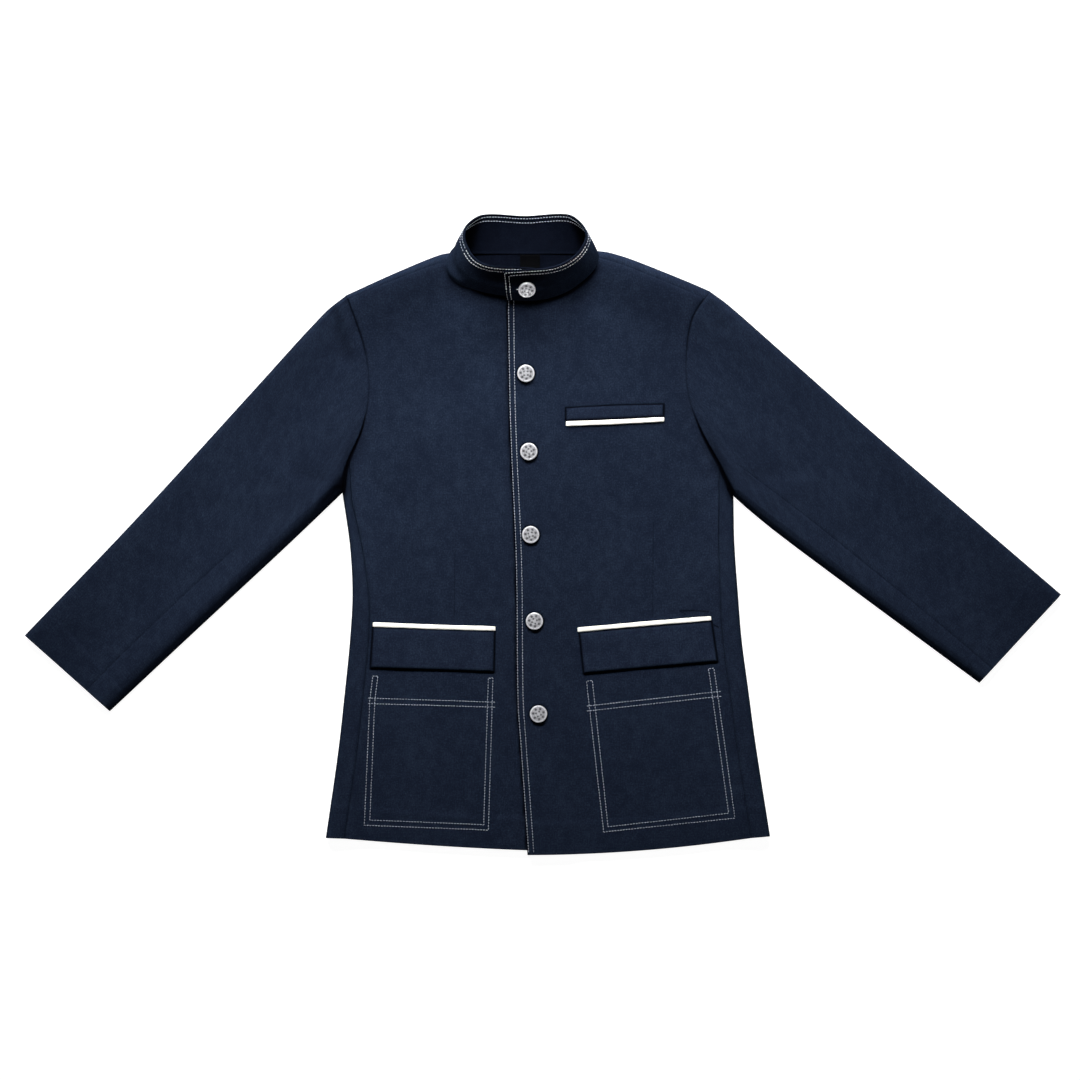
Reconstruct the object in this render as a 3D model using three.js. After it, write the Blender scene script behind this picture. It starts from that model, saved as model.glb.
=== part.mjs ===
// A denim blazer with a stand collar, laid out flat and face up with its sleeves spread.
// Millimetres. +X is towards the wearer's left sleeve, +Y towards the collar, +Z up off the surface.
// Every panel is a wall of cloth: a grid of points on its outer face, thickened inwards.
import * as THREE from 'three';

// ---- Driving dimensions ----
const CLOTH = 1.6;              // a denim panel, as thick as it lies with its turnings
const COLLAR_CLOTH = 2.4;       // two layers and the interlining between them
const FLAP_CLOTH = 2.2;         // two layers
const WELT_CLOTH = 1.8;
const PIPING_CLOTH = 1.5;       // folded cream strip
const PIPING_WIDTH = 5.6;
const LABEL_CLOTH = 1;
const SEAM_GAP = 0.3;           // between two panels that are sewn together
const NECK_GAP = 1.4;           // between the fronts' straight-sided necklines and the round collar
const REST_GAP = 0.4;           // below what lies on a panel
const LAP_LIFT = 2.6;           // rise of the upper front over the lower one
const LAP_PAST = 4;             // it stays lifted this far past the lower front's edge
const LAP_SLOPE = 30;           // and comes down again over this width

const BODY_HEIGHT = 6.5;        // top of the fronts above the surface, away from the folds
const SIDE_FOLD_HEIGHT = 11.5;
const SHOULDER_HEIGHT = 15;
const FOLD_HALF_WIDTH = 8;      // how far in the top of a rolled fold lies
const SIDE_RISE_WIDTH = 30;
const SHOULDER_RISE_WIDTH = 38;
const ARMHOLE_HEIGHT = 7;
const ARMHOLE_RISE = { tip: 45, underarm: 35 };   // how far the seam stays raised at either end
const SIDE_RISE_END = { y: 10, width: 90 };       // the side fold's rise dies away above this height
const NECK_RISE = { height: 12.5, width: 68, depth: 46, y: 284 };
const CHEST_SWELL = { height: 2, out: 115, y: 130, width: 70, depth: 80 };
const SEAM_BLEND = 18;          // a front takes up its seam's height over this width
const SLEEVE_FOLD_HEIGHT = 12;  // the lower fold, where the cloth is pushed together
const SLEEVE_OUTER_HEIGHT = 9.5;
const SLEEVE_HEAD_HEIGHT = 9.5; // top of the sleeve's middle, near the armhole
const SLEEVE_CUFF_HEIGHT = 6.5;
const SLEEVE_RISE_WIDTH = 20;
const SLEEVE_OUTER_WIDTH = 36;
const SLEEVE_LENGTH = 540;
const SLEEVE_BLEND = 20;        // a sleeve leaves the armhole's height over this run
// Shares of a sleeve's length over which its start settles into its own shape.
const SLEEVE_SETTLE = { fold: 0.12, seam: 0.35, shoulder: 0.4, middle: 0.6 };

const SIDE_SEAM_INSET = 23;     // side-body seam on the face, from the side fold
const BACK_SEAM_INSET = 34;     // side-body seam below
const SIDE_SEAM_RUN = 42;       // where the side-body seams reach the armhole, from the underarm
const BACK_SEAM_RUN = 38;
const SLEEVE_SEAM_RUN = 75;     // where the front sleeve seam reaches the armhole
const ELBOW_SEAM_INSET = 35;    // elbow seam below, from the outer fold
const ELBOW_SEAM_RUN = 65;
const SIDE_HEM_DROP = 0.4;      // share of a half's hem bow at its side-body seams
const BACK_HEM_BOW = 32;        // the back's hem hangs a quarter of this below its corners
const FOLD_STEPS = 5;

const BUTTON_DIAMETER = 22;
const BUTTON_HEIGHT = 4.2;
const NECK_CENTRE = [-25, 320];

// Outlines in plan, for each half. Points run from the hem, the underarm or the shoulder tip.
const RIGHT = {
  name: 'right',
  outwards: -1,
  shoulderFold: 5,
  hemBow: 2,
  sleeveSeam: [53, 38],         // the front sleeve seam's inset, at the armhole and at the cuff
  sideEdge: [
    { x: -261, y: -364 }, { x: -246, y: -259 }, { x: -238, y: -187 }, { x: -232, y: -127 },
    { x: -229, y: -72 }, { x: -232, y: -13 }, { x: -241, y: 50 },
  ],
  frontEdge: [{ x: 17, y: -380 }, { x: 10, y: -50 }, { x: 2, y: 284 }],
  frontArmhole: [
    { x: -241, y: 50 }, { x: -235.5, y: 82 }, { x: -217, y: 128 }, { x: -209.3, y: 172 },
    { x: -214, y: 221 }, { x: -236, y: 287 },
  ],
  backArmhole: [
    { x: -241, y: 50 }, { x: -230, y: 100 }, { x: -224, y: 170 }, { x: -228, y: 230 },
    { x: -236, y: 287 },
  ],
  shoulder: [{ x: -236, y: 287 }, { x: -188, y: 309 }, { x: -140, y: 329.5 }, { x: -115, y: 338.5 }],
  sleeveOuter: [
    { x: -236, y: 287 }, { x: -262, y: 266 }, { x: -350, y: 170 }, { x: -488, y: 19 },
    { x: -622, y: -121 },
  ],
  sleeveLower: [{ x: -241, y: 50 }, { x: -308, y: -14 }, { x: -423, y: -121 }, { x: -520, y: -212 }],
};
const LEFT = {
  name: 'left',
  outwards: 1,
  shoulderFold: 11,
  hemBow: 5,
  sleeveSeam: [54.5, 20.5],
  sideEdge: [
    { x: 272, y: -362 }, { x: 254, y: -247 }, { x: 246, y: -187 }, { x: 238, y: -127 },
    { x: 234, y: -79 }, { x: 229, y: -7 }, { x: 228, y: 46 },
  ],
  frontEdge: [
    { x: -19, y: -384.5 }, { x: -29, y: -244 }, { x: -32, y: -199 }, { x: -34, y: -31 },
    { x: -41, y: 128 }, { x: -45, y: 278.5 },
  ],
  frontArmhole: [
    { x: 228, y: 46 }, { x: 211.5, y: 82 }, { x: 190, y: 122 }, { x: 174.5, y: 165 },
    { x: 171, y: 207 }, { x: 178, y: 257 }, { x: 199, y: 292 },
  ],
  backArmhole: [
    { x: 228, y: 46 }, { x: 208, y: 100 }, { x: 195, y: 170 }, { x: 195, y: 230 },
    { x: 199, y: 292 },
  ],
  shoulder: [{ x: 199, y: 292 }, { x: 170, y: 304.5 }, { x: 103, y: 331 }, { x: 71, y: 340.5 }],
  sleeveOuter: [
    { x: 199, y: 292 }, { x: 222, y: 275 }, { x: 279, y: 225 }, { x: 393, y: 124 },
    { x: 508, y: 25 }, { x: 621, y: -72 },
  ],
  sleeveLower: [
    { x: 228, y: 46 }, { x: 246, y: 30 }, { x: 279, y: 3 }, { x: 355, y: -54 }, { x: 523, y: -178 },
  ],
};

// The collar band, from its upper end round the back to its lower end: seam and rim at each station.
const COLLAR = [
  { x: -43.6, y: 280, z: 21.5, rimX: -47.8, rimY: 313, rimZ: 52 },
  { x: -20, y: 279, z: 21.5, rimX: -22, rimY: 315.2, rimZ: 51.5 },
  { x: 4, y: 281.5, z: 20.8, rimX: 2, rimY: 317, rimZ: 51 },
  { x: 28, y: 290, z: 18.5, rimX: 20, rimY: 321.6, rimZ: 51 },
  { x: 48, y: 303.5, z: 16.5, rimX: 36, rimY: 330.5, rimZ: 51 },
  { x: 62, y: 318, z: 15.5, rimX: 46.5, rimY: 342, rimZ: 50 },
  { x: 67, y: 333, z: 15, rimX: 52.5, rimY: 357.5, rimZ: 46 },
  { x: 62.5, y: 338.5, z: 6, rimX: 46.5, rimY: 372, rimZ: 30 },
  { x: 40, y: 337, z: 1, rimX: 29, rimY: 384, rimZ: 9 },
  { x: -20, y: 336.5, z: 0.3, rimX: -21, rimY: 382.2, rimZ: 4 },
  { x: -84, y: 337, z: 1, rimX: -72, rimY: 383.6, rimZ: 9 },
  { x: -108, y: 338.5, z: 6, rimX: -91, rimY: 371.8, rimZ: 30 },
  { x: -114, y: 330, z: 15, rimX: -95.5, rimY: 359.5, rimZ: 42 },
  { x: -116, y: 316, z: 15, rimX: -92.5, rimY: 346.5, rimZ: 44 },
  { x: -106, y: 302.5, z: 15.5, rimX: -84.5, rimY: 332, rimZ: 45.5 },
  { x: -84, y: 293, z: 16.5, rimX: -72, rimY: 322.6, rimZ: 47.5 },
  { x: -54, y: 286, z: 18, rimX: -52, rimY: 318.4, rimZ: 48.5 },
  { x: -20, y: 284, z: 18.2, rimX: -20.8, rimY: 317.6, rimZ: 48 },
  { x: 1, y: 285.5, z: 17.6, rimX: 1, rimY: 315.3, rimZ: 44.2 },
];
const LEFT_NECKLINE = { from: 0, to: 5.9 };    // stations of the collar that each front is sewn to
const RIGHT_NECKLINE = { from: 18, to: 12.15 };

// Corners of what lies on the fronts: top and bottom edge at each end.
const CHEST_WELT = [
  { x: 26.7, top: 152, bottom: 136.2 }, { x: 85, top: 155.2, bottom: 138.4 },
  { x: 144.5, top: 156.5, bottom: 141.2 },
];
const CHEST_PIPING = [{ x: 27.2, y: 132.8 }, { x: 85, y: 134.9 }, { x: 144.8, y: 138 }];
const PIPING_LEFT = [{ x: 41, y: -114.4 }, { x: 201.2, y: -100.6 }];
const PIPING_RIGHT = [{ x: -204.4, y: -108 }, { x: -57.4, y: -112.9 }];
const FLAP_LEFT = {
  topIn: [43, -117.6], topOut: [201.8, -104],
  bottomIn: [48.2, -166.8], bottomOut: [209, -152.4],
};
const FLAP_RIGHT = {
  topIn: [-58.2, -116.2], topOut: [-204.4, -111.3],
  bottomIn: [-59.2, -164.8], bottomOut: [-207.4, -160.2],
};
const NECK_LABEL = { left: -28, right: -4, bottom: 312, top: 335.4 };
const COLLAR_BUTTON = { station: 1.05, height: 0.42 };
const BUTTONS = [
  { x: -20.9, y: 193.1 }, { x: -17.4, y: 99.4 }, { x: -15.2, y: -0.2 }, { x: -10.7, y: -103.9 },
  { x: -5.8, y: -215.2 },
];

// ---- Small helpers ----
const lerp = (a, b, f) => a + (b - a) * f;
const lerpPoint = (a, b, f) => a.map((value, i) => lerp(value, b[i], f));
const plus = (a, b, f = 1) => a.map((value, i) => value + b[i] * f);
const minus = (a, b) => a.map((value, i) => value - b[i]);
const size = (a) => Math.hypot(...a);
const hump = (distance, width) => Math.exp(-((distance / width) ** 2));
const steps = (count) => Array.from({ length: count + 1 }, (_, i) => i / count);
const smoothStep = (f) => {
  const held = Math.min(Math.max(f, 0), 1);
  return held * held * (3 - 2 * held);
};

// A smooth curve through points: cubic pieces over the run of the chords, each point's slope taken
// from its two neighbours. at(run) gives the point that far along.
function curveThrough(points) {
  const runs = [0];
  for (let i = 1; i < points.length; i += 1) {
    runs.push(runs[i - 1] + size(minus(points[i], points[i - 1])));
  }
  const last = points.length - 1;
  const slopes = points.map((_, i) => {
    const before = Math.max(i - 1, 0);
    const after = Math.min(i + 1, last);
    return minus(points[after], points[before]).map((d) => d / (runs[after] - runs[before]));
  });
  const at = (run) => {
    const i = Math.max(0, Math.min(last - 1, runs.findLastIndex((r) => r <= run)));
    const span = runs[i + 1] - runs[i];
    const f = (run - runs[i]) / span;
    const bend = f * f * (3 - 2 * f);
    return points[i].map((p, k) => lerp(p, points[i + 1][k], bend)
      + span * f * (1 - f) * ((1 - f) * slopes[i][k] - f * slopes[i + 1][k]));
  };
  return { length: runs[last], runs, at, part: (f) => at(f * runs[last]) };
}
const planCurve = (rows) => curveThrough(rows.map(({ x, y }) => [x, y]));

// x of a side edge at height y; above the underarm it stays where the underarm is.
function edgeX(half, y) {
  const rows = half.sideEdge;
  const held = Math.min(y, rows.at(-1).y);
  const i = Math.max(0, Math.min(rows.length - 2, rows.findLastIndex((row) => row.y <= held)));
  const curve = half.curves.side;
  const run = lerp(curve.runs[i], curve.runs[i + 1], (held - rows[i].y) / (rows[i + 1].y - rows[i].y));
  return curve.at(run)[0];
}

for (const half of [RIGHT, LEFT]) {
  half.curves = {
    side: planCurve(half.sideEdge),
    front: planCurve(half.frontEdge),
    frontArmhole: planCurve(half.frontArmhole),
    backArmhole: planCurve(half.backArmhole),
    shoulder: planCurve([...half.shoulder].reverse()),
    outer: planCurve(half.sleeveOuter),
    lower: planCurve(half.sleeveLower),
  };
}
const COLLAR_CURVE = curveThrough(COLLAR.map((s) => [s.x, s.y, s.z, s.rimX, s.rimY, s.rimZ]));
const collarAt = (station) => {
  const i = Math.min(Math.floor(station), COLLAR.length - 2);
  return COLLAR_CURVE.at(lerp(COLLAR_CURVE.runs[i], COLLAR_CURVE.runs[i + 1], station - i));
};

// ---- Heights of the laid-out cloth ----
const sideHeight = (inset) => BODY_HEIGHT
  + (SIDE_FOLD_HEIGHT - BODY_HEIGHT) * hump(inset - FOLD_HALF_WIDTH, SIDE_RISE_WIDTH);

// Top of the body at (x, y): the flat middle, raised along the side folds, the shoulder folds and
// below the collar, with a soft swell on each breast.
function bodyTop(half, x, y) {
  const inset = (edgeX(half, y) - x) * half.outwards;
  const fade = 1 - smoothStep((y - SIDE_RISE_END.y) / SIDE_RISE_END.width);
  const side = (sideHeight(inset) - BODY_HEIGHT) * fade;
  const [tip, end] = [half.shoulder[0], half.shoulder.at(-1)];
  const slope = (end.y - tip.y) / (end.x - tip.x);
  const below = (tip.y + slope * (x - tip.x) - y) / Math.hypot(1, slope);
  const shoulder = (SHOULDER_HEIGHT - BODY_HEIGHT)
    * hump(Math.max(0, below - half.shoulderFold), SHOULDER_RISE_WIDTH);
  const neck = NECK_RISE.height * hump(x - NECK_CENTRE[0], NECK_RISE.width)
    * hump(Math.min(0, y - NECK_RISE.y), NECK_RISE.depth);
  const breastX = NECK_CENTRE[0] + CHEST_SWELL.out * half.outwards;
  const chest = CHEST_SWELL.height * hump(x - breastX, CHEST_SWELL.width)
    * hump(y - CHEST_SWELL.y, CHEST_SWELL.depth);
  return BODY_HEIGHT + Math.hypot(side, shoulder, neck) + chest;
}

// Top of the armhole seam, a given run up from the underarm.
function armholeTop(half, run) {
  const fromTip = half.curves.frontArmhole.length - run;
  const tip = hump(fromTip - half.shoulderFold, ARMHOLE_RISE.tip);
  const underarm = hump(run - FOLD_HALF_WIDTH, ARMHOLE_RISE.underarm);
  return ARMHOLE_HEIGHT + (SHOULDER_HEIGHT - ARMHOLE_HEIGHT) * tip
    + (SIDE_FOLD_HEIGHT - ARMHOLE_HEIGHT) * underarm;
}

// Rise of the upper front, where it laps over the lower one.
function lapLift(half, x, y) {
  if (half !== LEFT) return 0;
  const [hemEnd, neckEnd] = [RIGHT.frontEdge[0], RIGHT.frontEdge.at(-1)];
  const edge = lerp(hemEnd.x, neckEnd.x, (y - hemEnd.y) / (neckEnd.y - hemEnd.y));
  return LAP_LIFT * (1 - smoothStep((x - edge - LAP_PAST) / LAP_SLOPE));
}

// ---- Walls of cloth ----
// A panel is a grid of points on the cloth's outer face. turn is 1 or -1, for a grid whose rows and
// columns run one way or the other. keep(i, j) says whether the cell between rows i, i + 1 and
// columns j, j + 1 is there.
function panelOf(grid, turn, keep = () => true) {
  const normals = grid.map((row) => row.map(() => new THREE.Vector3()));
  const cells = [];
  for (let i = 0; i < grid.length - 1; i += 1) {
    for (let j = 0; j < grid[0].length - 1; j += 1) {
      if (!keep(i, j)) continue;
      const corners = [[i, j], [i, j + 1], [i + 1, j + 1], [i + 1, j]];
      if (turn < 0) corners.reverse();
      const [a, b, c, d] = corners.map(([k, n]) => new THREE.Vector3(...grid[k][n]));
      const normal = c.sub(a).cross(d.sub(b)).normalize();
      corners.forEach(([k, n]) => normals[k][n].add(normal));
      cells.push(corners);
    }
  }
  normals.flat().forEach((normal) => normal.normalize());
  return { grid, normals, cells };
}

// Thickens a panel inwards, against its normals, into a closed wall.
function wall({ grid, normals, cells }, thickness) {
  const columns = grid[0].length;
  const outer = grid.flat().map((p) => new THREE.Vector3(...p));
  const inner = outer.map((p, k) => p.clone().addScaledVector(normals.flat()[k], -thickness));
  const offset = outer.length;
  const indices = [];
  const quad = (a, b, c, d) => indices.push(a, b, c, a, c, d);
  const edges = new Map();
  for (const cell of cells) {
    const corners = cell.map(([i, j]) => i * columns + j);
    quad(...corners);
    quad(...[...corners].reverse().map((k) => k + offset));
    corners.forEach((k, n) => edges.set(`${k} ${corners[(n + 1) % 4]}`, [k, corners[(n + 1) % 4]]));
  }
  for (const [a, b] of edges.values()) {
    if (!edges.has(`${b} ${a}`)) quad(b, a, a + offset, b + offset);
  }
  return meshOf([...outer, ...inner], indices);
}

function meshOf(vertices, indices) {
  const used = [...new Set(indices)];
  const place = new Map(used.map((k, n) => [k, n]));
  const geometry = new THREE.BufferGeometry();
  const positions = used.flatMap((k) => vertices[k].toArray());
  geometry.setAttribute('position', new THREE.Float32BufferAttribute(positions, 3));
  geometry.setIndex(indices.map((k) => place.get(k)));
  geometry.computeVertexNormals();
  return geometry;
}

// Draws a panel's edges back by a gap, along the cloth: its top or bottom row, its first or last column.
function drawBack(panel, gap, ...edges) {
  const { grid } = panel;
  const rows = grid.length - 1;
  const columns = grid[0].length - 1;
  const back = (from, to) => plus(from, minus(to, from), gap / size(minus(to, from)));
  const drawn = grid.map((row, i) => row.map((p, j) => {
    let point = p;
    if (edges.includes('bottom') && i === 0) point = back(point, grid[1][j]);
    if (edges.includes('top') && i === rows) point = back(point, grid[rows - 1][j]);
    if (edges.includes('first') && j === 0) point = back(point, row[1]);
    if (edges.includes('last') && j === columns) point = back(point, row[j - 1]);
    return point;
  }));
  return { ...panel, grid: drawn };
}

// Gives panels the same normal wherever they share a point, so that the gap between their cut
// edges stays even through the cloth.
function matchNormals(panels) {
  const sums = new Map();
  const keyOf = (p) => p.map((value) => value.toFixed(3)).join(' ');
  const each = (visit) => panels.forEach(({ grid, normals }) => grid.forEach((row, i) => {
    row.forEach((p, j) => visit(keyOf(p), normals[i][j]));
  }));
  each((key, normal) => sums.set(key, (sums.get(key) ?? new THREE.Vector3()).add(normal)));
  each((key, normal) => normal.copy(sums.get(key)).normalize());
}

// A Coons patch in plan: a grid between four edges that meet at their ends.
function patch(bottom, top, first, last) {
  const n = bottom.length - 1;
  const across = steps(n).map((f, j) => partOf(bottom, j) * (1 - f) + partOf(top, j) * f);
  return first.map((p, i) => across.map((f, j) => {
    const v = lerp(partOf(first, i), partOf(last, i), f);
    const ruled = plus(lerpPoint(p, last[i], f), lerpPoint(bottom[j], top[j], v));
    const low = lerpPoint(bottom[0], bottom[n], f);
    const high = lerpPoint(top[0], top[n], f);
    return minus(ruled, lerpPoint(low, high, v));
  }));
}

// How far along a row of points the one with this index is, from 0 to 1.
function partOf(points, index) {
  const runs = [0];
  for (let i = 1; i < points.length; i += 1) {
    runs.push(runs[i - 1] + size(minus(points[i], points[i - 1])));
  }
  return runs[index] / runs.at(-1);
}

// ---- Seam lines that neighbours share ----
const SEAM_ROWS = [0, 0.12, 0.25, 0.38, 0.51, 0.64, 0.77, 0.89, 1];
const FRONT_EDGE_ROWS = [0, 0.13, 0.26, 0.39, 0.52, 0.65, 0.76, 0.84, 0.885, 0.92, 0.95, 0.975, 1];
const FRONT_COLUMNS = [0, 0.1, 0.22, 0.35, 0.48, 0.61, 0.74, 0.85, 0.93, 1];
const FOLD_ANGLES = steps(FOLD_STEPS).map((f) => Math.PI * (f - 0.5));

// Runs of the points on the armhole: near the underarm, up the face to the shoulder, and below.
function armholeRuns(half) {
  const front = half.curves.frontArmhole.length - half.shoulderFold;
  const back = half.curves.backArmhole.length - half.shoulderFold;
  const elbow = half.curves.backArmhole.length - ELBOW_SEAM_RUN;
  return {
    sideFront: [FOLD_HALF_WIDTH, 16, 28, SIDE_SEAM_RUN],
    frontLow: [SIDE_SEAM_RUN, 58, SLEEVE_SEAM_RUN],
    frontHigh: steps(8).map((f) => lerp(SLEEVE_SEAM_RUN, front, f)),
    sideBack: [FOLD_HALF_WIDTH, 22, BACK_SEAM_RUN],
    backLow: steps(4).map((f) => lerp(BACK_SEAM_RUN, elbow, f)),
    backHigh: steps(2).map((f) => lerp(elbow, back, f)),
  };
}

// The side-body seams, from the hem to the armhole: one on the face, one below. Their lower half
// keeps its inset from the fold, and their upper half runs over to its point on the armhole.
function sideSeams(half) {
  const hemY = half.sideEdge[0].y;
  const seam = (inset, end) => SEAM_ROWS.map((f) => {
    if (f === 1) return end;
    const y = lerp(hemY, end[1], f);
    const endInset = (edgeX(half, end[1]) - end[0]) * half.outwards;
    const here = lerp(inset, endInset, smoothStep((f - 0.5) * 2));
    const drop = half.hemBow * SIDE_HEM_DROP * (1 - f);
    return [edgeX(half, y) - here * half.outwards, y - drop];
  });
  return {
    face: seam(SIDE_SEAM_INSET, half.curves.frontArmhole.at(SIDE_SEAM_RUN)),
    below: seam(BACK_SEAM_INSET, half.curves.backArmhole.at(BACK_SEAM_RUN)),
    fold: SEAM_ROWS.map((f) => {
      const y = lerp(hemY, half.sideEdge.at(-1).y, f);
      return [edgeX(half, y), y];
    }),
  };
}

// A hem between two points, bowed down by a quarter of bow in its middle.
function hem(from, to, fractions, bow) {
  return fractions.map((f) => {
    const [x, y] = lerpPoint(from, to, f);
    return [x, y - bow * f * (1 - f)];
  });
}

// A shoulder seam between two ends: the shoulder's line, moved over to meet them.
function shoulderLine(half, neckEnd, tipEnd) {
  const { shoulder } = half.curves;
  const atNeck = minus(neckEnd, shoulder.part(0));
  const atTip = minus(tipEnd, shoulder.part(1));
  return FRONT_COLUMNS.map((f) => plus(shoulder.part(f), lerpPoint(atNeck, atTip, f)));
}

// ---- Fronts ----
// The front edge from the hem up, then the neckline just outside the collar's seam.
function frontOpening(half) {
  const neckline = half === LEFT ? LEFT_NECKLINE : RIGHT_NECKLINE;
  const neck = steps(6).map((f) => {
    const seam = collarAt(lerp(neckline.from, neckline.to, f)).slice(0, 2);
    const away = minus(seam, NECK_CENTRE);
    return plus(seam, away, NECK_GAP / size(away));
  });
  const shift = minus(neck[0], half.curves.front.part(1));
  const edge = FRONT_EDGE_ROWS.map((f) => plus(half.curves.front.part(f), shift, f ** 8));
  return [...edge, ...neck.slice(1)];
}

// From the front edge and neckline to the side seam and armhole, from the hem to the shoulder seam.
function frontGrid(half) {
  const runs = armholeRuns(half);
  const first = frontOpening(half);
  const armholeRows = [...runs.frontLow, ...runs.frontHigh.slice(1)];
  const last = [
    ...sideSeams(half).face,
    ...armholeRows.slice(1).map((run) => half.curves.frontArmhole.at(run)),
  ];
  const bottom = hem(first[0], last[0], FRONT_COLUMNS, half.hemBow * 4);
  const top = shoulderLine(half, first.at(-1), last.at(-1));
  const seamRows = SEAM_ROWS.length;
  return patch(bottom, top, first, last).map((row, i) => {
    const end = row.at(-1);
    const seamZ = sideHeight(size(minus(end, [edgeX(half, end[1]), end[1]])));
    const endZ = i < seamRows - 1 ? seamZ : armholeTop(half, armholeRows[i - seamRows + 1]);
    const miss = endZ - bodyTop(half, ...end);
    return row.map(([x, y]) => {
      const blend = miss * hump(size(minus([x, y], end)), SEAM_BLEND);
      return [x, y, bodyTop(half, x, y) + blend + lapLift(half, x, y)];
    });
  });
}

// ---- Side bodies ----
// Each wraps its side fold, from the seam on the face round to the seam below.
function sideGrid(half) {
  const seams = sideSeams(half);
  const rows = SEAM_ROWS.slice(1).map((_, i) => {
    const fold = seams.fold[i];
    const across = (seam) => {
      const width = size(minus(seam, fold));
      return { width, at: (inset) => lerpPoint(fold, seam, inset / width) };
    };
    return sideRow(half, across(seams.face[i]), across(seams.below[i]), sideHeight);
  });
  const { frontArmhole, backArmhole } = half.curves;
  const face = { width: SIDE_SEAM_RUN, at: frontArmhole.at };
  const below = { width: BACK_SEAM_RUN, at: backArmhole.at };
  return [...rows, sideRow(half, face, below, (run) => armholeTop(half, run))];
}

// One row of a side body: the face part inwards, the rolled fold, the part below.
function sideRow(half, face, below, height) {
  const runs = armholeRuns(half);
  const inset = (run, end, width) => lerp(FOLD_HALF_WIDTH, width,
    (run - FOLD_HALF_WIDTH) / (end - FOLD_HALF_WIDTH));
  const topPart = [...runs.sideFront].reverse().map((run) => {
    const a = inset(run, SIDE_SEAM_RUN, face.width);
    return [...face.at(a), height(a)];
  });
  const foldTop = topPart.at(-1)[2];
  const foldPart = [...FOLD_ANGLES].reverse().slice(1, -1).map((angle) => {
    const a = FOLD_HALF_WIDTH * (1 - Math.cos(angle));
    return [...(angle > 0 ? face : below).at(a), (foldTop / 2) * (1 + Math.sin(angle))];
  });
  const lowPart = runs.sideBack.map((run) => [...below.at(inset(run, BACK_SEAM_RUN, below.width)), 0]);
  return [...topPart, ...foldPart, ...lowPart];
}

// ---- Back ----
const NECK_CELLS = 6;
const SHOULDER_CELLS = FRONT_COLUMNS.length - 1;
const BACK_NECK = { y: 335.9, hollow: 30 };   // highest y of the back neckline, and its bow

// A side of the flat part: the seam below the side body, then the armhole.
function backSide(half) {
  const runs = armholeRuns(half);
  const armhole = [...runs.backLow, ...runs.backHigh.slice(1)].slice(1);
  return [...sideSeams(half).below, ...armhole.map((run) => half.curves.backArmhole.at(run))];
}

// The turned-up strip over one shoulder: rows from the flat part's top edge to the shoulder seam.
function shoulderStrip(half, lows, seam) {
  return FOLD_ANGLES.slice(1).map((angle) => FRONT_COLUMNS.map((f, n) => {
    const inwards = 1 - Math.cos(angle);
    const armhole = angle > 0 ? half.curves.frontArmhole : half.curves.backArmhole;
    const plan = f === 1 ? armhole.at(armhole.length - half.shoulderFold * inwards)
      : lerpPoint(half.curves.shoulder.part(f), angle > 0 ? seam[n].slice(0, 2) : lows[n], inwards);
    return [...plan, (seam[n][2] / 2) * (1 + Math.sin(angle))];
  }));
}

// A flat panel that turns up over both shoulders. The fold strips take the shoulder columns only.
function backGrid(fronts) {
  const first = backSide(RIGHT);
  const last = backSide(LEFT);
  const lowOf = (half, tip) => {
    const neckEnd = plus(half.curves.shoulder.part(0), [0, -half.shoulderFold]);
    return shoulderLine(half, neckEnd, tip);
  };
  const lowRight = lowOf(RIGHT, first.at(-1));
  const lowLeft = lowOf(LEFT, last.at(-1));
  const neck = steps(NECK_CELLS).slice(1, -1).map((f) => {
    const [x, y] = lerpPoint(lowRight[0], lowLeft[0], f);
    return [x, Math.min(BACK_NECK.y, y + BACK_NECK.hollow * f * (1 - f))];
  });
  const top = [...[...lowRight].reverse(), ...neck, ...lowLeft];
  const bottom = hem(first[0], last[0], top.map((_, j) => partOf(top, j)), BACK_HEM_BOW);
  const flat = patch(bottom, top, first, last).map((row) => row.map(([x, y]) => [x, y, 0]));
  const right = shoulderStrip(RIGHT, lowRight, fronts.right.at(-1));
  const left = shoulderStrip(LEFT, lowLeft, fronts.left.at(-1));
  const strips = right.map((row, i) => [
    ...[...row].reverse(), ...neck.map((p) => [...p, 0]), ...left[i],
  ]);
  const shoulders = (j) => j < SHOULDER_CELLS || j >= SHOULDER_CELLS + NECK_CELLS;
  const keep = (i, j) => i < flat.length - 1 || shoulders(j);
  return { grid: [...flat, ...strips], keep };
}

// ---- Sleeves ----
// Rows run from the armhole to the cuff; columns from the elbow seam below, over the outer fold and
// across the face to the front seam, then over the lower fold and back below to the elbow seam.
const SLEEVE_ROWS = [0, 0.015, 0.04, 0.08, 0.14, 0.22, 0.34, 0.5, 0.67, 0.84, 1];

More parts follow.
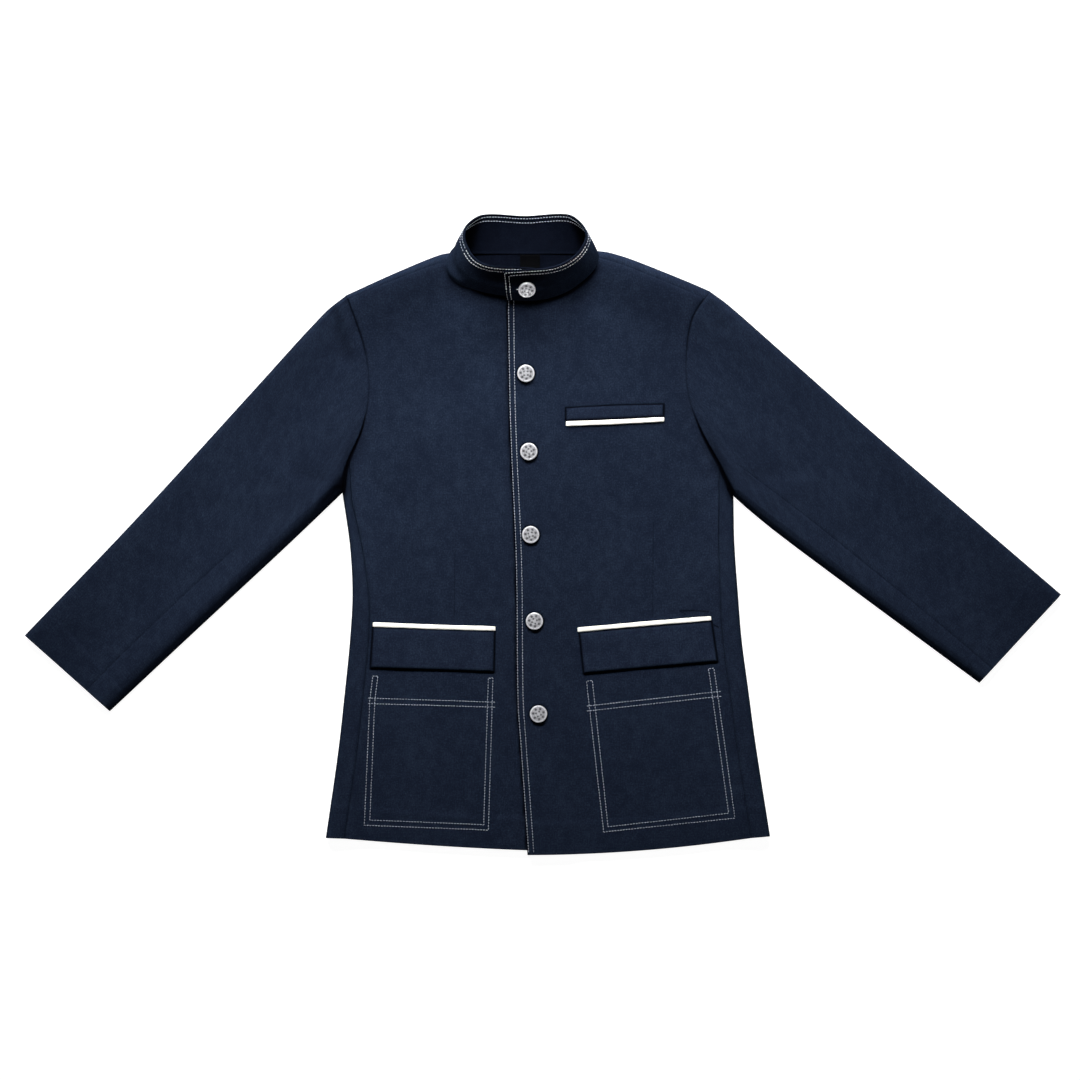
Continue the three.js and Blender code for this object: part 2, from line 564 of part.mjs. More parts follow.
// Each column: its run on the armhole, the layer it is on, its height on a rolled fold (lift, from
// 0 to 1), and its inset from the lower fold on a section of the sleeve.
function sleeveColumns(half) {
  const runs = armholeRuns(half);
  const frontEnd = half.curves.frontArmhole.length;
  const backEnd = half.curves.backArmhole.length;
  const elbow = backEnd - ELBOW_SEAM_RUN;
  const share = (run, from, to) => (run - from) / (to - from);
  const face = (run) => ({
    layer: 'face',
    run,
    inset: ({ width, fold, seam }) => (run <= SLEEVE_SEAM_RUN
      ? lerp(FOLD_HALF_WIDTH, seam, share(run, FOLD_HALF_WIDTH, SLEEVE_SEAM_RUN))
      : lerp(seam, width - fold, share(run, SLEEVE_SEAM_RUN, frontEnd - half.shoulderFold))),
  });
  const below = (run) => ({
    layer: 'below',
    run,
    inset: ({ width, fold }) => (run <= elbow
      ? lerp(FOLD_HALF_WIDTH, width - ELBOW_SEAM_INSET, share(run, FOLD_HALF_WIDTH, elbow))
      : lerp(width - ELBOW_SEAM_INSET, width - fold,
        share(run, elbow, backEnd - half.shoulderFold))),
  });
  const foldColumn = (angle, outer) => {
    const inwards = 1 - Math.cos(angle);
    const end = angle > 0 ? frontEnd : backEnd;
    const run = outer ? end - half.shoulderFold * inwards : FOLD_HALF_WIDTH * inwards;
    return {
      layer: angle > 0 ? 'face' : 'below',
      run,
      outer,
      lift: (1 + Math.sin(angle)) / 2,
      inset: ({ width, fold }) => (outer ? width - fold * inwards : FOLD_HALF_WIDTH * inwards),
    };
  };
  const angles = FOLD_ANGLES.slice(1, -1);
  const frontRuns = [...runs.sideFront, ...runs.frontLow.slice(1), ...runs.frontHigh.slice(1)];
  return [
    ...runs.backHigh.map(below),
    ...angles.map((angle) => foldColumn(angle, true)),
    ...frontRuns.reverse().map(face),
    ...[...angles].reverse().map((angle) => foldColumn(angle, false)),
    ...[...runs.sideBack, ...runs.backLow.slice(1)].map(below),
  ];
}

// A sleeve's own measures a share t of the way down: its edges, its front seam's inset from the
// lower fold, its outer fold and its heights.
function sleeveSection(half, t) {
  const out = half.curves.outer.part(t);
  const low = half.curves.lower.part(t);
  const settle = smoothStep(t / SLEEVE_SETTLE.fold);
  const shoulder = smoothStep(t / SLEEVE_SETTLE.shoulder);
  return {
    out,
    low,
    width: size(minus(out, low)),
    seam: lerp(...half.sleeveSeam, t),
    fold: lerp(half.shoulderFold, FOLD_HALF_WIDTH, settle),
    outerTop: lerp(SHOULDER_HEIGHT, SLEEVE_OUTER_HEIGHT, shoulder),
    lowerTop: lerp(SIDE_FOLD_HEIGHT, SLEEVE_FOLD_HEIGHT, settle),
    middle: lerp(SLEEVE_HEAD_HEIGHT, SLEEVE_CUFF_HEIGHT, smoothStep(t / SLEEVE_SETTLE.middle)),
    atSeam: hump(t * SLEEVE_LENGTH, SLEEVE_BLEND),
    keep: Math.max(0, 1 - t / SLEEVE_SETTLE.seam) ** 2,
  };
}

function sleeveHeight(half, column, section, inset) {
  if (column.lift !== undefined) {
    const top = column.outer ? section.outerTop : section.lowerTop;
    const seamEnd = half.curves.frontArmhole.length - half.shoulderFold;
    const seamTop = armholeTop(half, column.outer ? seamEnd : FOLD_HALF_WIDTH);
    return lerp(top, seamTop, section.atSeam) * column.lift;
  }
  if (column.layer === 'below') return 0;
  const { middle, outerTop, lowerTop, width, fold } = section;
  const z = middle + (outerTop - middle) * hump(width - inset - fold, SLEEVE_OUTER_WIDTH)
    + (lowerTop - middle) * hump(inset - FOLD_HALF_WIDTH, SLEEVE_RISE_WIDTH);
  return lerp(z, armholeTop(half, column.run), section.atSeam);
}

// The sleeve starts at the armhole's points, and what they miss of its straight start fades away.
function sleeveGrid(half) {
  const { frontArmhole, backArmhole } = half.curves;
  const columns = sleeveColumns(half);
  const start = sleeveSection(half, 0);
  const placeIn = (section, inset) => lerpPoint(section.low, section.out, inset / section.width);
  const grid = SLEEVE_ROWS.map((t) => {
    const section = sleeveSection(half, t);
    return columns.map((column) => {
      const seam = (column.layer === 'face' ? frontArmhole : backArmhole).at(column.run);
      const miss = minus(seam, placeIn(start, column.inset(start)));
      const inset = column.inset(section);
      const plan = plus(placeIn(section, inset), miss, section.keep);
      return [...plan, sleeveHeight(half, column, section, inset)];
    });
  });
  const seamColumn = columns.findIndex((column) => column.run === SLEEVE_SEAM_RUN);
  return { grid, seamColumn };
}

// ---- Collar ----
function collarGrid() {
  const stations = steps(54).map((f) => f * (COLLAR.length - 1));
  return stations.map((station) => {
    const s = collarAt(station);
    return steps(3).map((f) => lerpPoint(s.slice(0, 3), s.slice(3), f));
  });
}

// ---- What lies on the fronts ----
// Height of a faceted panel's outer face at (x, y).
function heightOn(grid, x, y) {
  for (let i = 0; i < grid.length - 1; i += 1) {
    for (let j = 0; j < grid[0].length - 1; j += 1) {
      const [a, b, c, d] = [grid[i][j], grid[i][j + 1], grid[i + 1][j + 1], grid[i + 1][j]];
      const found = heightIn(a, b, c, x, y) ?? heightIn(a, c, d, x, y);
      if (found !== undefined) return found;
    }
  }
  throw new Error(`no panel at ${x}, ${y}`);
}

function heightIn(a, b, c, x, y) {
  const area = (b[0] - a[0]) * (c[1] - a[1]) - (c[0] - a[0]) * (b[1] - a[1]);
  const u = ((x - a[0]) * (c[1] - a[1]) - (c[0] - a[0]) * (y - a[1])) / area;
  const v = ((b[0] - a[0]) * (y - a[1]) - (x - a[0]) * (b[1] - a[1])) / area;
  const slack = 1e-9;
  if (u < -slack || v < -slack || u + v > 1 + slack) return undefined;
  return a[2] + u * (b[2] - a[2]) + v * (c[2] - a[2]);
}

// Lays a plan grid on a panel: its lower face a small gap above the cloth.
function layOn(panel, plan, thickness) {
  const lift = REST_GAP + thickness;
  const grid = plan.map((row) => row.map(([x, y]) => [x, y, heightOn(panel, x, y) + lift]));
  return wall(panelOf(grid, 1), thickness);
}

// A strip of even width along a line.
function stripPlan(rows, width, cells) {
  const curve = planCurve(rows);
  return [-0.5, 0.5].map((across) => steps(cells).map((f) => {
    const [x, y] = curve.part(f);
    return [x, y + across * width];
  }));
}

// A welt between its lower and upper edge.
function weltPlan(rows) {
  const low = planCurve(rows.map(({ x, bottom }) => ({ x, y: bottom })));
  const high = planCurve(rows.map(({ x, top }) => ({ x, y: top })));
  return steps(2).map((v) => steps(8).map((f) => lerpPoint(low.part(f), high.part(f), v)));
}

// turn is 1 for a flap whose outer end lies towards +X, and -1 for the other.
function flapPlan({ topIn, topOut, bottomIn, bottomOut }, turn) {
  const ends = [[bottomIn, topIn], [bottomOut, topOut]];
  const [left, right] = turn > 0 ? ends : [...ends].reverse();
  return steps(4).map((v) => {
    const from = lerpPoint(...left, v);
    const to = lerpPoint(...right, v);
    return steps(12).map((f) => lerpPoint(from, to, f));
  });
}

// ---- Button ----
// A domed metal shank button: a flat underside, a thin edge and a raised rim round a low dome.
function buttonGeometry() {
  const radius = BUTTON_DIAMETER / 2;
  const profile = [
    [0, 0], [radius * 0.72, 0], [radius, BUTTON_HEIGHT * 0.4], [radius * 0.97, BUTTON_HEIGHT * 0.75],
    [radius * 0.84, BUTTON_HEIGHT * 0.85], [radius * 0.5, BUTTON_HEIGHT], [0, BUTTON_HEIGHT],
  ];
  const geometry = new THREE.LatheGeometry(profile.map(([r, h]) => new THREE.Vector2(r, h)), 20);
  return geometry.rotateX(Math.PI / 2);
}

// ---- Materials ----
const denim = (color) => new THREE.MeshStandardMaterial({ color, roughness: 0.85, metalness: 0 });
const MATERIALS = {
  back: denim(0x1d2434),
  front: denim(0x1f2637),
  side: denim(0x1c2232),
  sleeve: denim(0x1e2638),
  collar: denim(0x141926),
  flap: denim(0x1d2335),
  piping: denim(0xf3eedd),
  label: denim(0x08090b),
  button: new THREE.MeshStandardMaterial({ color: 0xc3c3c8, roughness: 0.35, metalness: 1 }),
};

// ---- Assembly ----
const blazer = new THREE.Group();
function add(name, geometry, material) {
  const mesh = new THREE.Mesh(geometry, material.clone());
  mesh.name = name;
  blazer.add(mesh);
  return mesh;
}

const fronts = { right: frontGrid(RIGHT), left: frontGrid(LEFT) };
const back = backGrid(fronts);
const panels = { back: panelOf(back.grid, -1, back.keep) };
for (const half of [RIGHT, LEFT]) {
  const turn = half.outwards;
  const { grid, seamColumn } = sleeveGrid(half);
  const top = grid.map((row) => row.slice(0, seamColumn + 1));
  const under = grid.map((row) => row.slice(seamColumn));
  panels[`front_${half.name}`] = panelOf(fronts[half.name], turn);
  panels[`side_${half.name}`] = panelOf(sideGrid(half), turn);
  panels[`sleeve_${half.name}_top`] = panelOf(top, turn);
  panels[`sleeve_${half.name}_under`] = panelOf(under, turn);
}
matchNormals(Object.values(panels));

// Edges that meet a neighbour, and so are drawn back by half the gap.
const SEWN_EDGES = {
  back: ['first', 'last', 'top'],
  front: ['last', 'top'],
  side: ['first', 'last'],
  sleeve: ['first', 'last'],
};
for (const [name, panel] of Object.entries(panels)) {
  const piece = name.split('_')[0];
  let drawn = drawBack(panel, SEAM_GAP / 2, ...SEWN_EDGES[piece]);
  if (piece === 'sleeve') drawn = drawBack(drawn, SEAM_GAP, 'bottom');
  add(name, wall(drawn, CLOTH), MATERIALS[piece]);
}

add('collar', wall(panelOf(collarGrid(), -1), COLLAR_CLOTH), MATERIALS.collar);

const label = [NECK_LABEL.bottom, NECK_LABEL.top].map((y) => (
  [NECK_LABEL.left, NECK_LABEL.right].map((x) => [x, y, CLOTH + SEAM_GAP + LABEL_CLOTH])
));
add('neck_label', wall(panelOf(label, 1), LABEL_CLOTH), MATERIALS.label);

const flapOn = (half, flap) => layOn(fronts[half.name], flapPlan(flap, half.outwards), FLAP_CLOTH);
const pipingOn = (half, line, cells) => (
  layOn(fronts[half.name], stripPlan(line, PIPING_WIDTH, cells), PIPING_CLOTH)
);
add('chest_welt', layOn(fronts.left, weltPlan(CHEST_WELT), WELT_CLOTH), MATERIALS.flap);
add('chest_piping', pipingOn(LEFT, CHEST_PIPING, 8), MATERIALS.piping);
add('flap_left', flapOn(LEFT, FLAP_LEFT), MATERIALS.flap);
add('flap_right', flapOn(RIGHT, FLAP_RIGHT), MATERIALS.flap);
add('piping_left', pipingOn(LEFT, PIPING_LEFT, 12), MATERIALS.piping);
add('piping_right', pipingOn(RIGHT, PIPING_RIGHT, 12), MATERIALS.piping);

// The collar's button stands square on the band, the others level on the upper front.
function placeCollarButton(button) {
  const here = collarAt(COLLAR_BUTTON.station);
  const ahead = collarAt(COLLAR_BUTTON.station + 0.1);
  const [seam, rim] = [here.slice(0, 3), here.slice(3)];
  const up = new THREE.Vector3(...minus(rim, seam)).normalize();
  const along = new THREE.Vector3(...minus(ahead.slice(0, 3), seam)).normalize();
  const normal = along.cross(up).normalize();
  button.position.fromArray(lerpPoint(seam, rim, COLLAR_BUTTON.height));
  button.position.addScaledVector(normal, REST_GAP);
  button.quaternion.setFromUnitVectors(new THREE.Vector3(0, 0, 1), normal);
}
placeCollarButton(add('button_1', buttonGeometry(), MATERIALS.button));

BUTTONS.forEach(({ x, y }, index) => {
  const button = add(`button_${index + 2}`, buttonGeometry(), MATERIALS.button);
  button.position.set(x, y, heightOn(fronts.left, x, y) + REST_GAP);
});

export default blazer;
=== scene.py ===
import bmesh
import bpy
import numpy as np
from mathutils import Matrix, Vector


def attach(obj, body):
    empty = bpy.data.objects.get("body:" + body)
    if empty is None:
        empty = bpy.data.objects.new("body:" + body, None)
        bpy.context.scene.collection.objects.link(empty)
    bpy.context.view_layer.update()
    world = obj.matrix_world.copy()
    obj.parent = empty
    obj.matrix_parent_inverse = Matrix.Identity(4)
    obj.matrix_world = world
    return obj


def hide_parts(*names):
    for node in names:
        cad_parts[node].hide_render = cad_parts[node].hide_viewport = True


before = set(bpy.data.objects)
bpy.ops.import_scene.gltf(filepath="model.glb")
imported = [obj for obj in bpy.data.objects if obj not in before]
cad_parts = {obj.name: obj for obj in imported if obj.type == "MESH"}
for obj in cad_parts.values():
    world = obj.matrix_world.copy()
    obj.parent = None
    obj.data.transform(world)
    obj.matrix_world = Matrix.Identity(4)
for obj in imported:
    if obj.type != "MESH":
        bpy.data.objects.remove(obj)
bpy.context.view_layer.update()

# ---- Back ----
# One broad panel of indigo denim with the grain running up the body. It lies face down on the
# surface, turns up over both shoulders and meets the fronts there, a finger's width down the face.

CLOTH = 1.6               # a panel as it lies, with its turnings; every size in this script is in mm
SEAM_GAP = 0.3
BODY_HEIGHT = 6.5         # top of the fronts, away from the folds
SIDE_FOLD_HEIGHT = 11.5
SHOULDER_HEIGHT = 15
FOLD_HALF_WIDTH = 8       # how far in the top of a rolled fold lies
SIDE_RISE_WIDTH = 30
SHOULDER_RISE_WIDTH = 38
ARMHOLE_HEIGHT = 7
NECK_RISE = 0.7           # the seam's turnings lift the back this far along the collar
NECK_X, NECK_Y = -25, 320
NECK_LIFT, NECK_FRONT_Y = 12.5, 284          # the cloth rises to the collar's seam, most above this y
BREAST_LIFT, BREAST_X, BREAST_Y = 2, 115, 130
SHOULDER_LENGTH, BACK_SEAM_LENGTH = 130, 410
NECK_GAP = -0.8           # the fronts and shoulders run this far into the collar
SIDE_SEAM_INSET, BACK_SEAM_INSET = 23, 34    # the side body's seams, on the face and below
SIDE_SEAM_RUN, BACK_SEAM_RUN = 42, 38        # where they reach the armhole, from the underarm
STRAIGHT_SHARE = 0.89                        # the side seams turn straight to the armhole above this


def bell(distance, width):
    """1 at distance 0, falling off evenly both ways: exp(-(distance / width) squared)."""
    return np.exp(-(distance / width) ** 2)


def ease(f):
    """0 up to 0, 1 from 1 on, and a smooth S between: f squared times (3 - 2 f)."""
    held = np.clip(f, 0, 1)
    return held * held * (3 - 2 * held)


def between(a, b, f):
    """a where f is 0, b where f is 1, and the straight mix between them."""
    return a + (b - a) * f


def length(vectors):
    """Length of each vector along the last axis."""
    return np.linalg.norm(vectors, axis=-1)


def run_along(points):
    """How far along its row each point is, measured from point to point."""
    return np.append(0, np.cumsum(length(np.diff(points, axis=0))))


def raised(plan, z):
    """Points in plan with their heights."""
    return np.concatenate([plan, z[..., None]], -1)


class Line:
    """A smooth line through points: a cubic piece over each chord, whose slope at a point is that
    from its neighbour before to its neighbour after."""

    def __init__(self, points):
        self.points = np.array(points, float)
        self.runs = run_along(self.points)
        self.length = self.runs[-1]
        k = np.arange(len(self.points))
        before, after = np.maximum(k - 1, 0), np.minimum(k + 1, len(k) - 1)
        rise = self.points[after] - self.points[before]
        self.slopes = rise / (self.runs[after] - self.runs[before])[:, None]

    def at(self, run):
        """The points that far along."""
        i = np.clip(np.searchsorted(self.runs, run, side="right") - 1, 0, len(self.points) - 2)
        span = (self.runs[i + 1] - self.runs[i])[..., None]
        f = (run - self.runs[i])[..., None] / span
        chord = between(self.points[i], self.points[i + 1], f * f * (3 - 2 * f))
        return chord + span * f * (1 - f) * ((1 - f) * self.slopes[i] - f * self.slopes[i + 1])

    def part(self, f):
        """The points at these shares of the whole length."""
        return self.at(np.multiply(f, self.length))


# Outlines in plan for each half, from the hem, the underarm or the shoulder tip.
RIGHT = {
    "name": "right", "out": -1, "shoulder_fold": 5, "hem_bow": 2,
    "side": Line([(-261, -364), (-246, -259), (-238, -187), (-232, -127), (-229, -72), (-232, -13),
                  (-241, 50)]),
    "edge": Line([(17, -380), (10, -50), (2, 284)]),
    "armhole": Line([(-241, 50), (-235.5, 82), (-217, 128), (-209.3, 172), (-214, 221), (-236, 287)]),
    "back_armhole": Line([(-241, 50), (-230, 100), (-224, 170), (-228, 230), (-236, 287)]),
    "shoulder": Line([(-115, 338.5), (-140, 329.5), (-188, 309), (-236, 287)]),
    "outer": Line([(-236, 287), (-262, 266), (-350, 170), (-488, 19), (-622, -121)]),
    "lower": Line([(-241, 50), (-308, -14), (-423, -121), (-520, -212)]),
}
LEFT = {
    "name": "left", "out": 1, "shoulder_fold": 11, "hem_bow": 5,
    "side": Line([(272, -362), (254, -247), (246, -187), (238, -127), (234, -79), (229, -7),
                  (228, 46)]),
    "edge": Line([(-19, -384.5), (-29, -244), (-32, -199), (-34, -31), (-41, 128), (-45, 278.5)]),
    "armhole": Line([(228, 46), (211.5, 82), (190, 122), (174.5, 165), (171, 207), (178, 257),
                     (199, 292)]),
    "back_armhole": Line([(228, 46), (208, 100), (195, 170), (195, 230), (199, 292)]),
    "shoulder": Line([(71, 340.5), (103, 331), (170, 304.5), (199, 292)]),
    "outer": Line([(199, 292), (222, 275), (279, 225), (393, 124), (508, 25), (621, -72)]),
    "lower": Line([(228, 46), (246, 30), (279, 3), (355, -54), (523, -178)]),
}
HALVES = (RIGHT, LEFT)

# The collar band from its upper end round the back to its lower end: seam x, y, z, then rim x, y, z.
COLLAR = Line([
    (-43.6, 280, 21.5, -47.8, 313, 52), (-20, 279, 21.5, -22, 315.2, 51.5),
    (4, 281.5, 20.8, 2, 317, 51), (28, 290, 18.5, 20, 321.6, 51), (48, 303.5, 16.5, 36, 330.5, 51),
    (62, 318, 15.5, 46.5, 342, 50), (67, 333, 15, 52.5, 357.5, 46), (62.5, 338.5, 6, 46.5, 372, 30),
    (40, 337, 1, 29, 384, 9), (-20, 336.5, 0.3, -21, 382.2, 4), (-84, 337, 1, -72, 383.6, 9),
    (-108, 338.5, 6, -91, 371.8, 30), (-114, 330, 15, -95.5, 359.5, 42),
    (-116, 316, 15, -92.5, 346.5, 44), (-106, 302.5, 15.5, -84.5, 332, 45.5),
    (-84, 293, 16.5, -72, 322.6, 47.5),
    (-54, 286, 18, -52, 318.4, 48.5), (-20, 284, 18.2, -20.8, 317.6, 48),
    (1, 285.5, 17.6, 1, 315.3, 44.2),
])
RIGHT["neckline"], LEFT["neckline"] = (18, 12.15), (0, 5.9)   # the collar's stations they are sewn to


def collar_at(station):
    """Seam and rim of the collar at a place counted in its points, such as 2.5."""
    return COLLAR.at(np.interp(station, np.arange(len(COLLAR.runs)), COLLAR.runs))


def edge_x(half, y):
    """x of the side fold's outer edge at each y, held above the underarm and below the hem."""
    side = half["side"].part(np.linspace(0, 1, 240))
    return np.interp(y, side[:, 1], side[:, 0])


def side_height(inset):
    """Top of the cloth beside a side fold: highest over the fold, falling to the flat middle."""
    return BODY_HEIGHT + (SIDE_FOLD_HEIGHT - BODY_HEIGHT) * bell(inset - FOLD_HALF_WIDTH,
                                                                 SIDE_RISE_WIDTH)


def body_top(half, plan):
    """Top of the body: flat, raised along the side fold, the shoulder and the collar's seam (as the
    root of their squares' sum), plus a soft swell on the breast."""
    x, y = plan[..., 0], plan[..., 1]
    inset = (edge_x(half, y) - x) * half["out"]
    side = (side_height(inset) - BODY_HEIGHT) * (1 - ease((y - 10) / 90))
    neck, tip = half["shoulder"].points[[0, -1]]
    slope = (neck[1] - tip[1]) / (neck[0] - tip[0])
    below = (tip[1] + slope * (x - tip[0]) - y) / np.hypot(1, slope)
    shoulder = (SHOULDER_HEIGHT - BODY_HEIGHT) * bell(
        np.maximum(0, below - half["shoulder_fold"]), SHOULDER_RISE_WIDTH)
    at_neck = NECK_LIFT * bell(x - NECK_X, 68) * bell(np.minimum(0, y - NECK_FRONT_Y), 46)
    breast = BREAST_LIFT * bell(x - NECK_X - BREAST_X * half["out"], 70) * bell(y - BREAST_Y, 80)
    return BODY_HEIGHT + np.sqrt(side ** 2 + shoulder ** 2 + at_neck ** 2) + breast


def armhole_top(half, run):
    """Height of the armhole seam, that far up the face from the underarm."""
    from_tip = half["armhole"].length - run
    return (ARMHOLE_HEIGHT
            + (SHOULDER_HEIGHT - ARMHOLE_HEIGHT) * bell(from_tip - half["shoulder_fold"], 45)
            + (SIDE_FOLD_HEIGHT - ARMHOLE_HEIGHT) * bell(run - FOLD_HALF_WIDTH, 35))


def tip_run(half, armhole="armhole"):
    """How far up an armhole from the underarm the fold at the shoulder's tip begins."""
    return half[armhole].length - half["shoulder_fold"]


def bent_share(f):
    """0 up to where the side seams turn to the armhole, growing evenly to 1 at their ends."""
    return np.clip((f - STRAIGHT_SHARE) / (1 - STRAIGHT_SHARE), 0, 1)


def side_seam(half, f, below=False):
    """A side-body seam from the hem to the armhole, on the face or below: a steady inset from the
    fold over its lower half, running over to its point on the armhole above."""
    end = half["back_armhole"].at(BACK_SEAM_RUN) if below else half["armhole"].at(SIDE_SEAM_RUN)
    held = np.minimum(f, STRAIGHT_SHARE)
    y = between(half["side"].points[0, 1], end[1], held)
    end_inset = (edge_x(half, end[1]) - end[0]) * half["out"]
    inset = between(BACK_SEAM_INSET if below else SIDE_SEAM_INSET, end_inset, ease((held - 0.5) * 2))
    drop = half["hem_bow"] * 0.4 * (1 - held)
    curved = np.stack([edge_x(half, y) - inset * half["out"], y - drop], -1)
    return between(curved, end, bent_share(f)[..., None])


def neck_seam(half, f):
    """The front's neckline, just outside the collar's seam, from the front edge to the shoulder."""
    seam = collar_at(between(*half["neckline"], f))[..., :2]
    away = seam - (NECK_X, NECK_Y)
    return seam + away * NECK_GAP / length(away)[..., None]


def shoulder_line(half, f, neck_end, tip_end):
    """The shoulder's line at shares f of its length, moved over so that it meets two given ends."""
    line = half["shoulder"]
    return line.part(f) + between(neck_end - line.part(0), tip_end - line.part(1), f[:, None])


def shoulder_seam(half, f):
    """The seam between front and back, on the face, with its height."""
    tip = half["armhole"].at(tip_run(half))
    plan = shoulder_line(half, f, neck_seam(half, 1), tip)
    tip_miss = armhole_top(half, tip_run(half)) - body_top(half, tip)
    return raised(plan, body_top(half, plan) + tip_miss * bell(length(plan - tip), 18))


def hem_line(start, end, f, bow):
    """From start to end, hanging a quarter of bow below the straight line in its middle."""
    f = f[:, None]
    return between(start, end, f) - f * (1 - f) * (0, bow)


def shares(points):
    """How far along its row each point is, from 0 to 1."""
    runs = run_along(points)
    return runs / runs[-1]


def patch(bottom, top, first, last):
    """A flat sheet between four edges that meet at their corners: the mix of the side edges plus
    the mix of the lower and upper edges, less the mix of the four corners."""
    n = np.linspace(0, 1, len(bottom))
    f = between(shares(bottom), shares(top), n)[None, :, None]
    v = between(shares(first)[:, None], shares(last)[:, None], f[0, :, 0])[..., None]
    ruled = between(first[:, None], last[:, None], f) + between(bottom[None], top[None], v)
    low, high = between(bottom[0], bottom[-1], f), between(top[0], top[-1], f)
    return ruled - between(low, high, v)


def spaced(total, step, close=(0.0, 0.5, 1.1, 1.9, 3.0, 4.6)):
    """Shares from 0 to 1 along a run in mm: even steps, drawn together towards both ends."""
    ends = np.array(close) / total
    middle = np.linspace(ends[-1], 1 - ends[-1], max(2, round(total / step)))[1:-1]
    return np.concatenate([ends, middle, 1 - ends[::-1]])


def creases(plan, rows):
    """Sum of soft creases in mm. Each row is a line from (x, y) to (x, y) with a half width and a
    rise, minus for a trough: the rise times a bell across the line, eased off towards its ends."""
    x, y = plan[..., 0], plan[..., 1]
    total = np.zeros(np.shape(x))
    for ax, ay, bx, by, width, rise in rows:
        run = np.hypot(bx - ax, by - ay)
        along = ((x - ax) * (bx - ax) + (y - ay) * (by - ay)) / run ** 2
        across = ((x - ax) * (by - ay) - (y - ay) * (bx - ax)) / run
        total += rise * bell(across, width) * ease(along / 0.35 + 0.5) * ease((1 - along) / 0.35 + 0.5)
    return total


def seam_roll(distance, depth=0.9):
    """How far the cloth turns down at a seam: a narrow dip with a faint swell beside it."""
    return depth * (0.3 * bell(distance - 5, 3) - bell(distance, 1.5))


def flat_run(grid, axis):
    """How far each point of a grid is along its own row or column, measured on the cloth."""
    step = length(np.diff(grid, axis=axis))
    start = np.zeros_like(np.take(step, [0], axis=axis))
    return np.concatenate([start, np.cumsum(step, axis=axis)], axis=axis)


def quad_mesh(name, points, faces, flat, uv_name="cloth", crevice=None):
    """A smooth mesh of four-sided faces: points in mm, and flat coordinates in mm for each point.
    crevice, from 0 to 1, is the shade painted on each point: in seams, against edges and where the cloth
    turns from the light."""
    mesh = bpy.data.meshes.new(name)
    mesh.vertices.add(len(points))
    mesh.vertices.foreach_set("co", (points * 0.001).astype(np.float32).ravel())
    mesh.loops.add(faces.size)
    mesh.loops.foreach_set("vertex_index", faces.astype(np.int32).ravel())
    mesh.polygons.add(len(faces))
    mesh.polygons.foreach_set("loop_start", np.arange(0, faces.size, 4, dtype=np.int32))
    layer = mesh.uv_layers.new(name=uv_name)
    layer.data.foreach_set("uv", (flat[faces.ravel()] * 0.001).astype(np.float32).ravel())
    if crevice is not None:
        depth = mesh.attributes.new("crevice", "FLOAT", "POINT")
        depth.data.foreach_set("value", crevice.astype(np.float32).ravel())
    mesh.update(calc_edges=True)
    mesh.validate()
    mesh.shade_smooth()
    return mesh


def cloth_mesh(name, grid, turn, flat, keep=None, crevice=None):
    """A mesh between neighbouring points of a grid, facing up where turn is 1 and its columns run
    clockwise of its rows. keep says which cells are cloth."""
    rows, columns = grid.shape[:2]
    k = np.arange(rows * columns).reshape(rows, columns)
    faces = np.stack([k[:-1, :-1], k[:-1, 1:], k[1:, 1:], k[1:, :-1]], -1)
    faces = faces.reshape(-1, 4) if keep is None else faces[keep]
    used, place = np.unique(faces[:, ::turn], return_inverse=True)
    crevice = np.zeros(len(used)) if crevice is None else crevice.ravel()[used]
    return quad_mesh(name, grid.reshape(-1, 3)[used], place.reshape(-1, 4), flat.reshape(-1, 2)[used],
                     crevice=crevice)


def finished(name, mesh, material, thickness=0, rounding=0.5, inside=None, replaces=True):
    """Puts a mesh in the scene as a piece of the blazer, in place of the CAD node of its name: thickened
    inwards by its cloth, its edges rounded and its inside faces in their own material, a darker denim of
    painted shade where one is given."""
    piece = bpy.data.objects.new("sewn_" + name, mesh)
    bpy.context.scene.collection.objects.link(piece)
    mesh.materials.append(material)
    if thickness:
        shell = piece.modifiers.new("cloth", "SOLIDIFY")
        shell.thickness = thickness * 0.001
        shell.offset = -1
        if inside:
            mesh.materials.append(inside)
            shell.material_offset = 1
        edge = piece.modifiers.new("edge", "BEVEL")
        edge.width = rounding * 0.001
        edge.segments = 2
        edge.limit_method = "ANGLE"
        edge.angle_limit = np.radians(50)
    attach(piece, "root")
    if replaces:
        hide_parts(name)
    return piece


def panel(name, grid, turn, flat, material, cut, rests_on, thickness=CLOTH, slot="denim",
          rounding=0.5, inside=None, **marks):
    """A piece of cloth from the points of its outer face; cut, its width, length and area, is not used.
    """
    mesh = cloth_mesh(name, grid, turn, flat, **marks)
    finished(name, mesh, material, thickness, rounding, inside)


def plug(tree, made, inputs):
    """Gives a shader node its inputs: {name or number: value or socket}."""
    for key, value in inputs.items():
        if isinstance(value, bpy.types.NodeSocket):
            tree.links.new(value, made.inputs[key])
        else:
            made.inputs[key].default_value = value
    return made


def node(tree, kind, inputs=None, **settings):
    """Adds a shader node with its inputs and its options."""
    made = tree.nodes.new(kind)
    for key, value in settings.items():
        setattr(made, key, value)
    return plug(tree, made, inputs or {})


def maths(tree, operation, *inputs, clamp=False):
    """What a maths node makes of these values or sockets."""
    return node(tree, "ShaderNodeMath", dict(enumerate(inputs)), operation=operation,
                use_clamp=clamp).outputs[0]


def vector_maths(tree, operation, a, b, out="Vector"):
    """What a vector maths node makes of two vectors."""
    return node(tree, "ShaderNodeVectorMath", {0: a, 1: b}, operation=operation).outputs[out]


def mixed(tree, share, a, b):
    """The colour a where share is 0, b where it is 1, and the mix between them."""
    a, b = ((*c, 1) if isinstance(c, tuple) else c for c in (a, b))
    return node(tree, "ShaderNodeMix", {0: share, 6: a, 7: b}, data_type="RGBA").outputs[2]


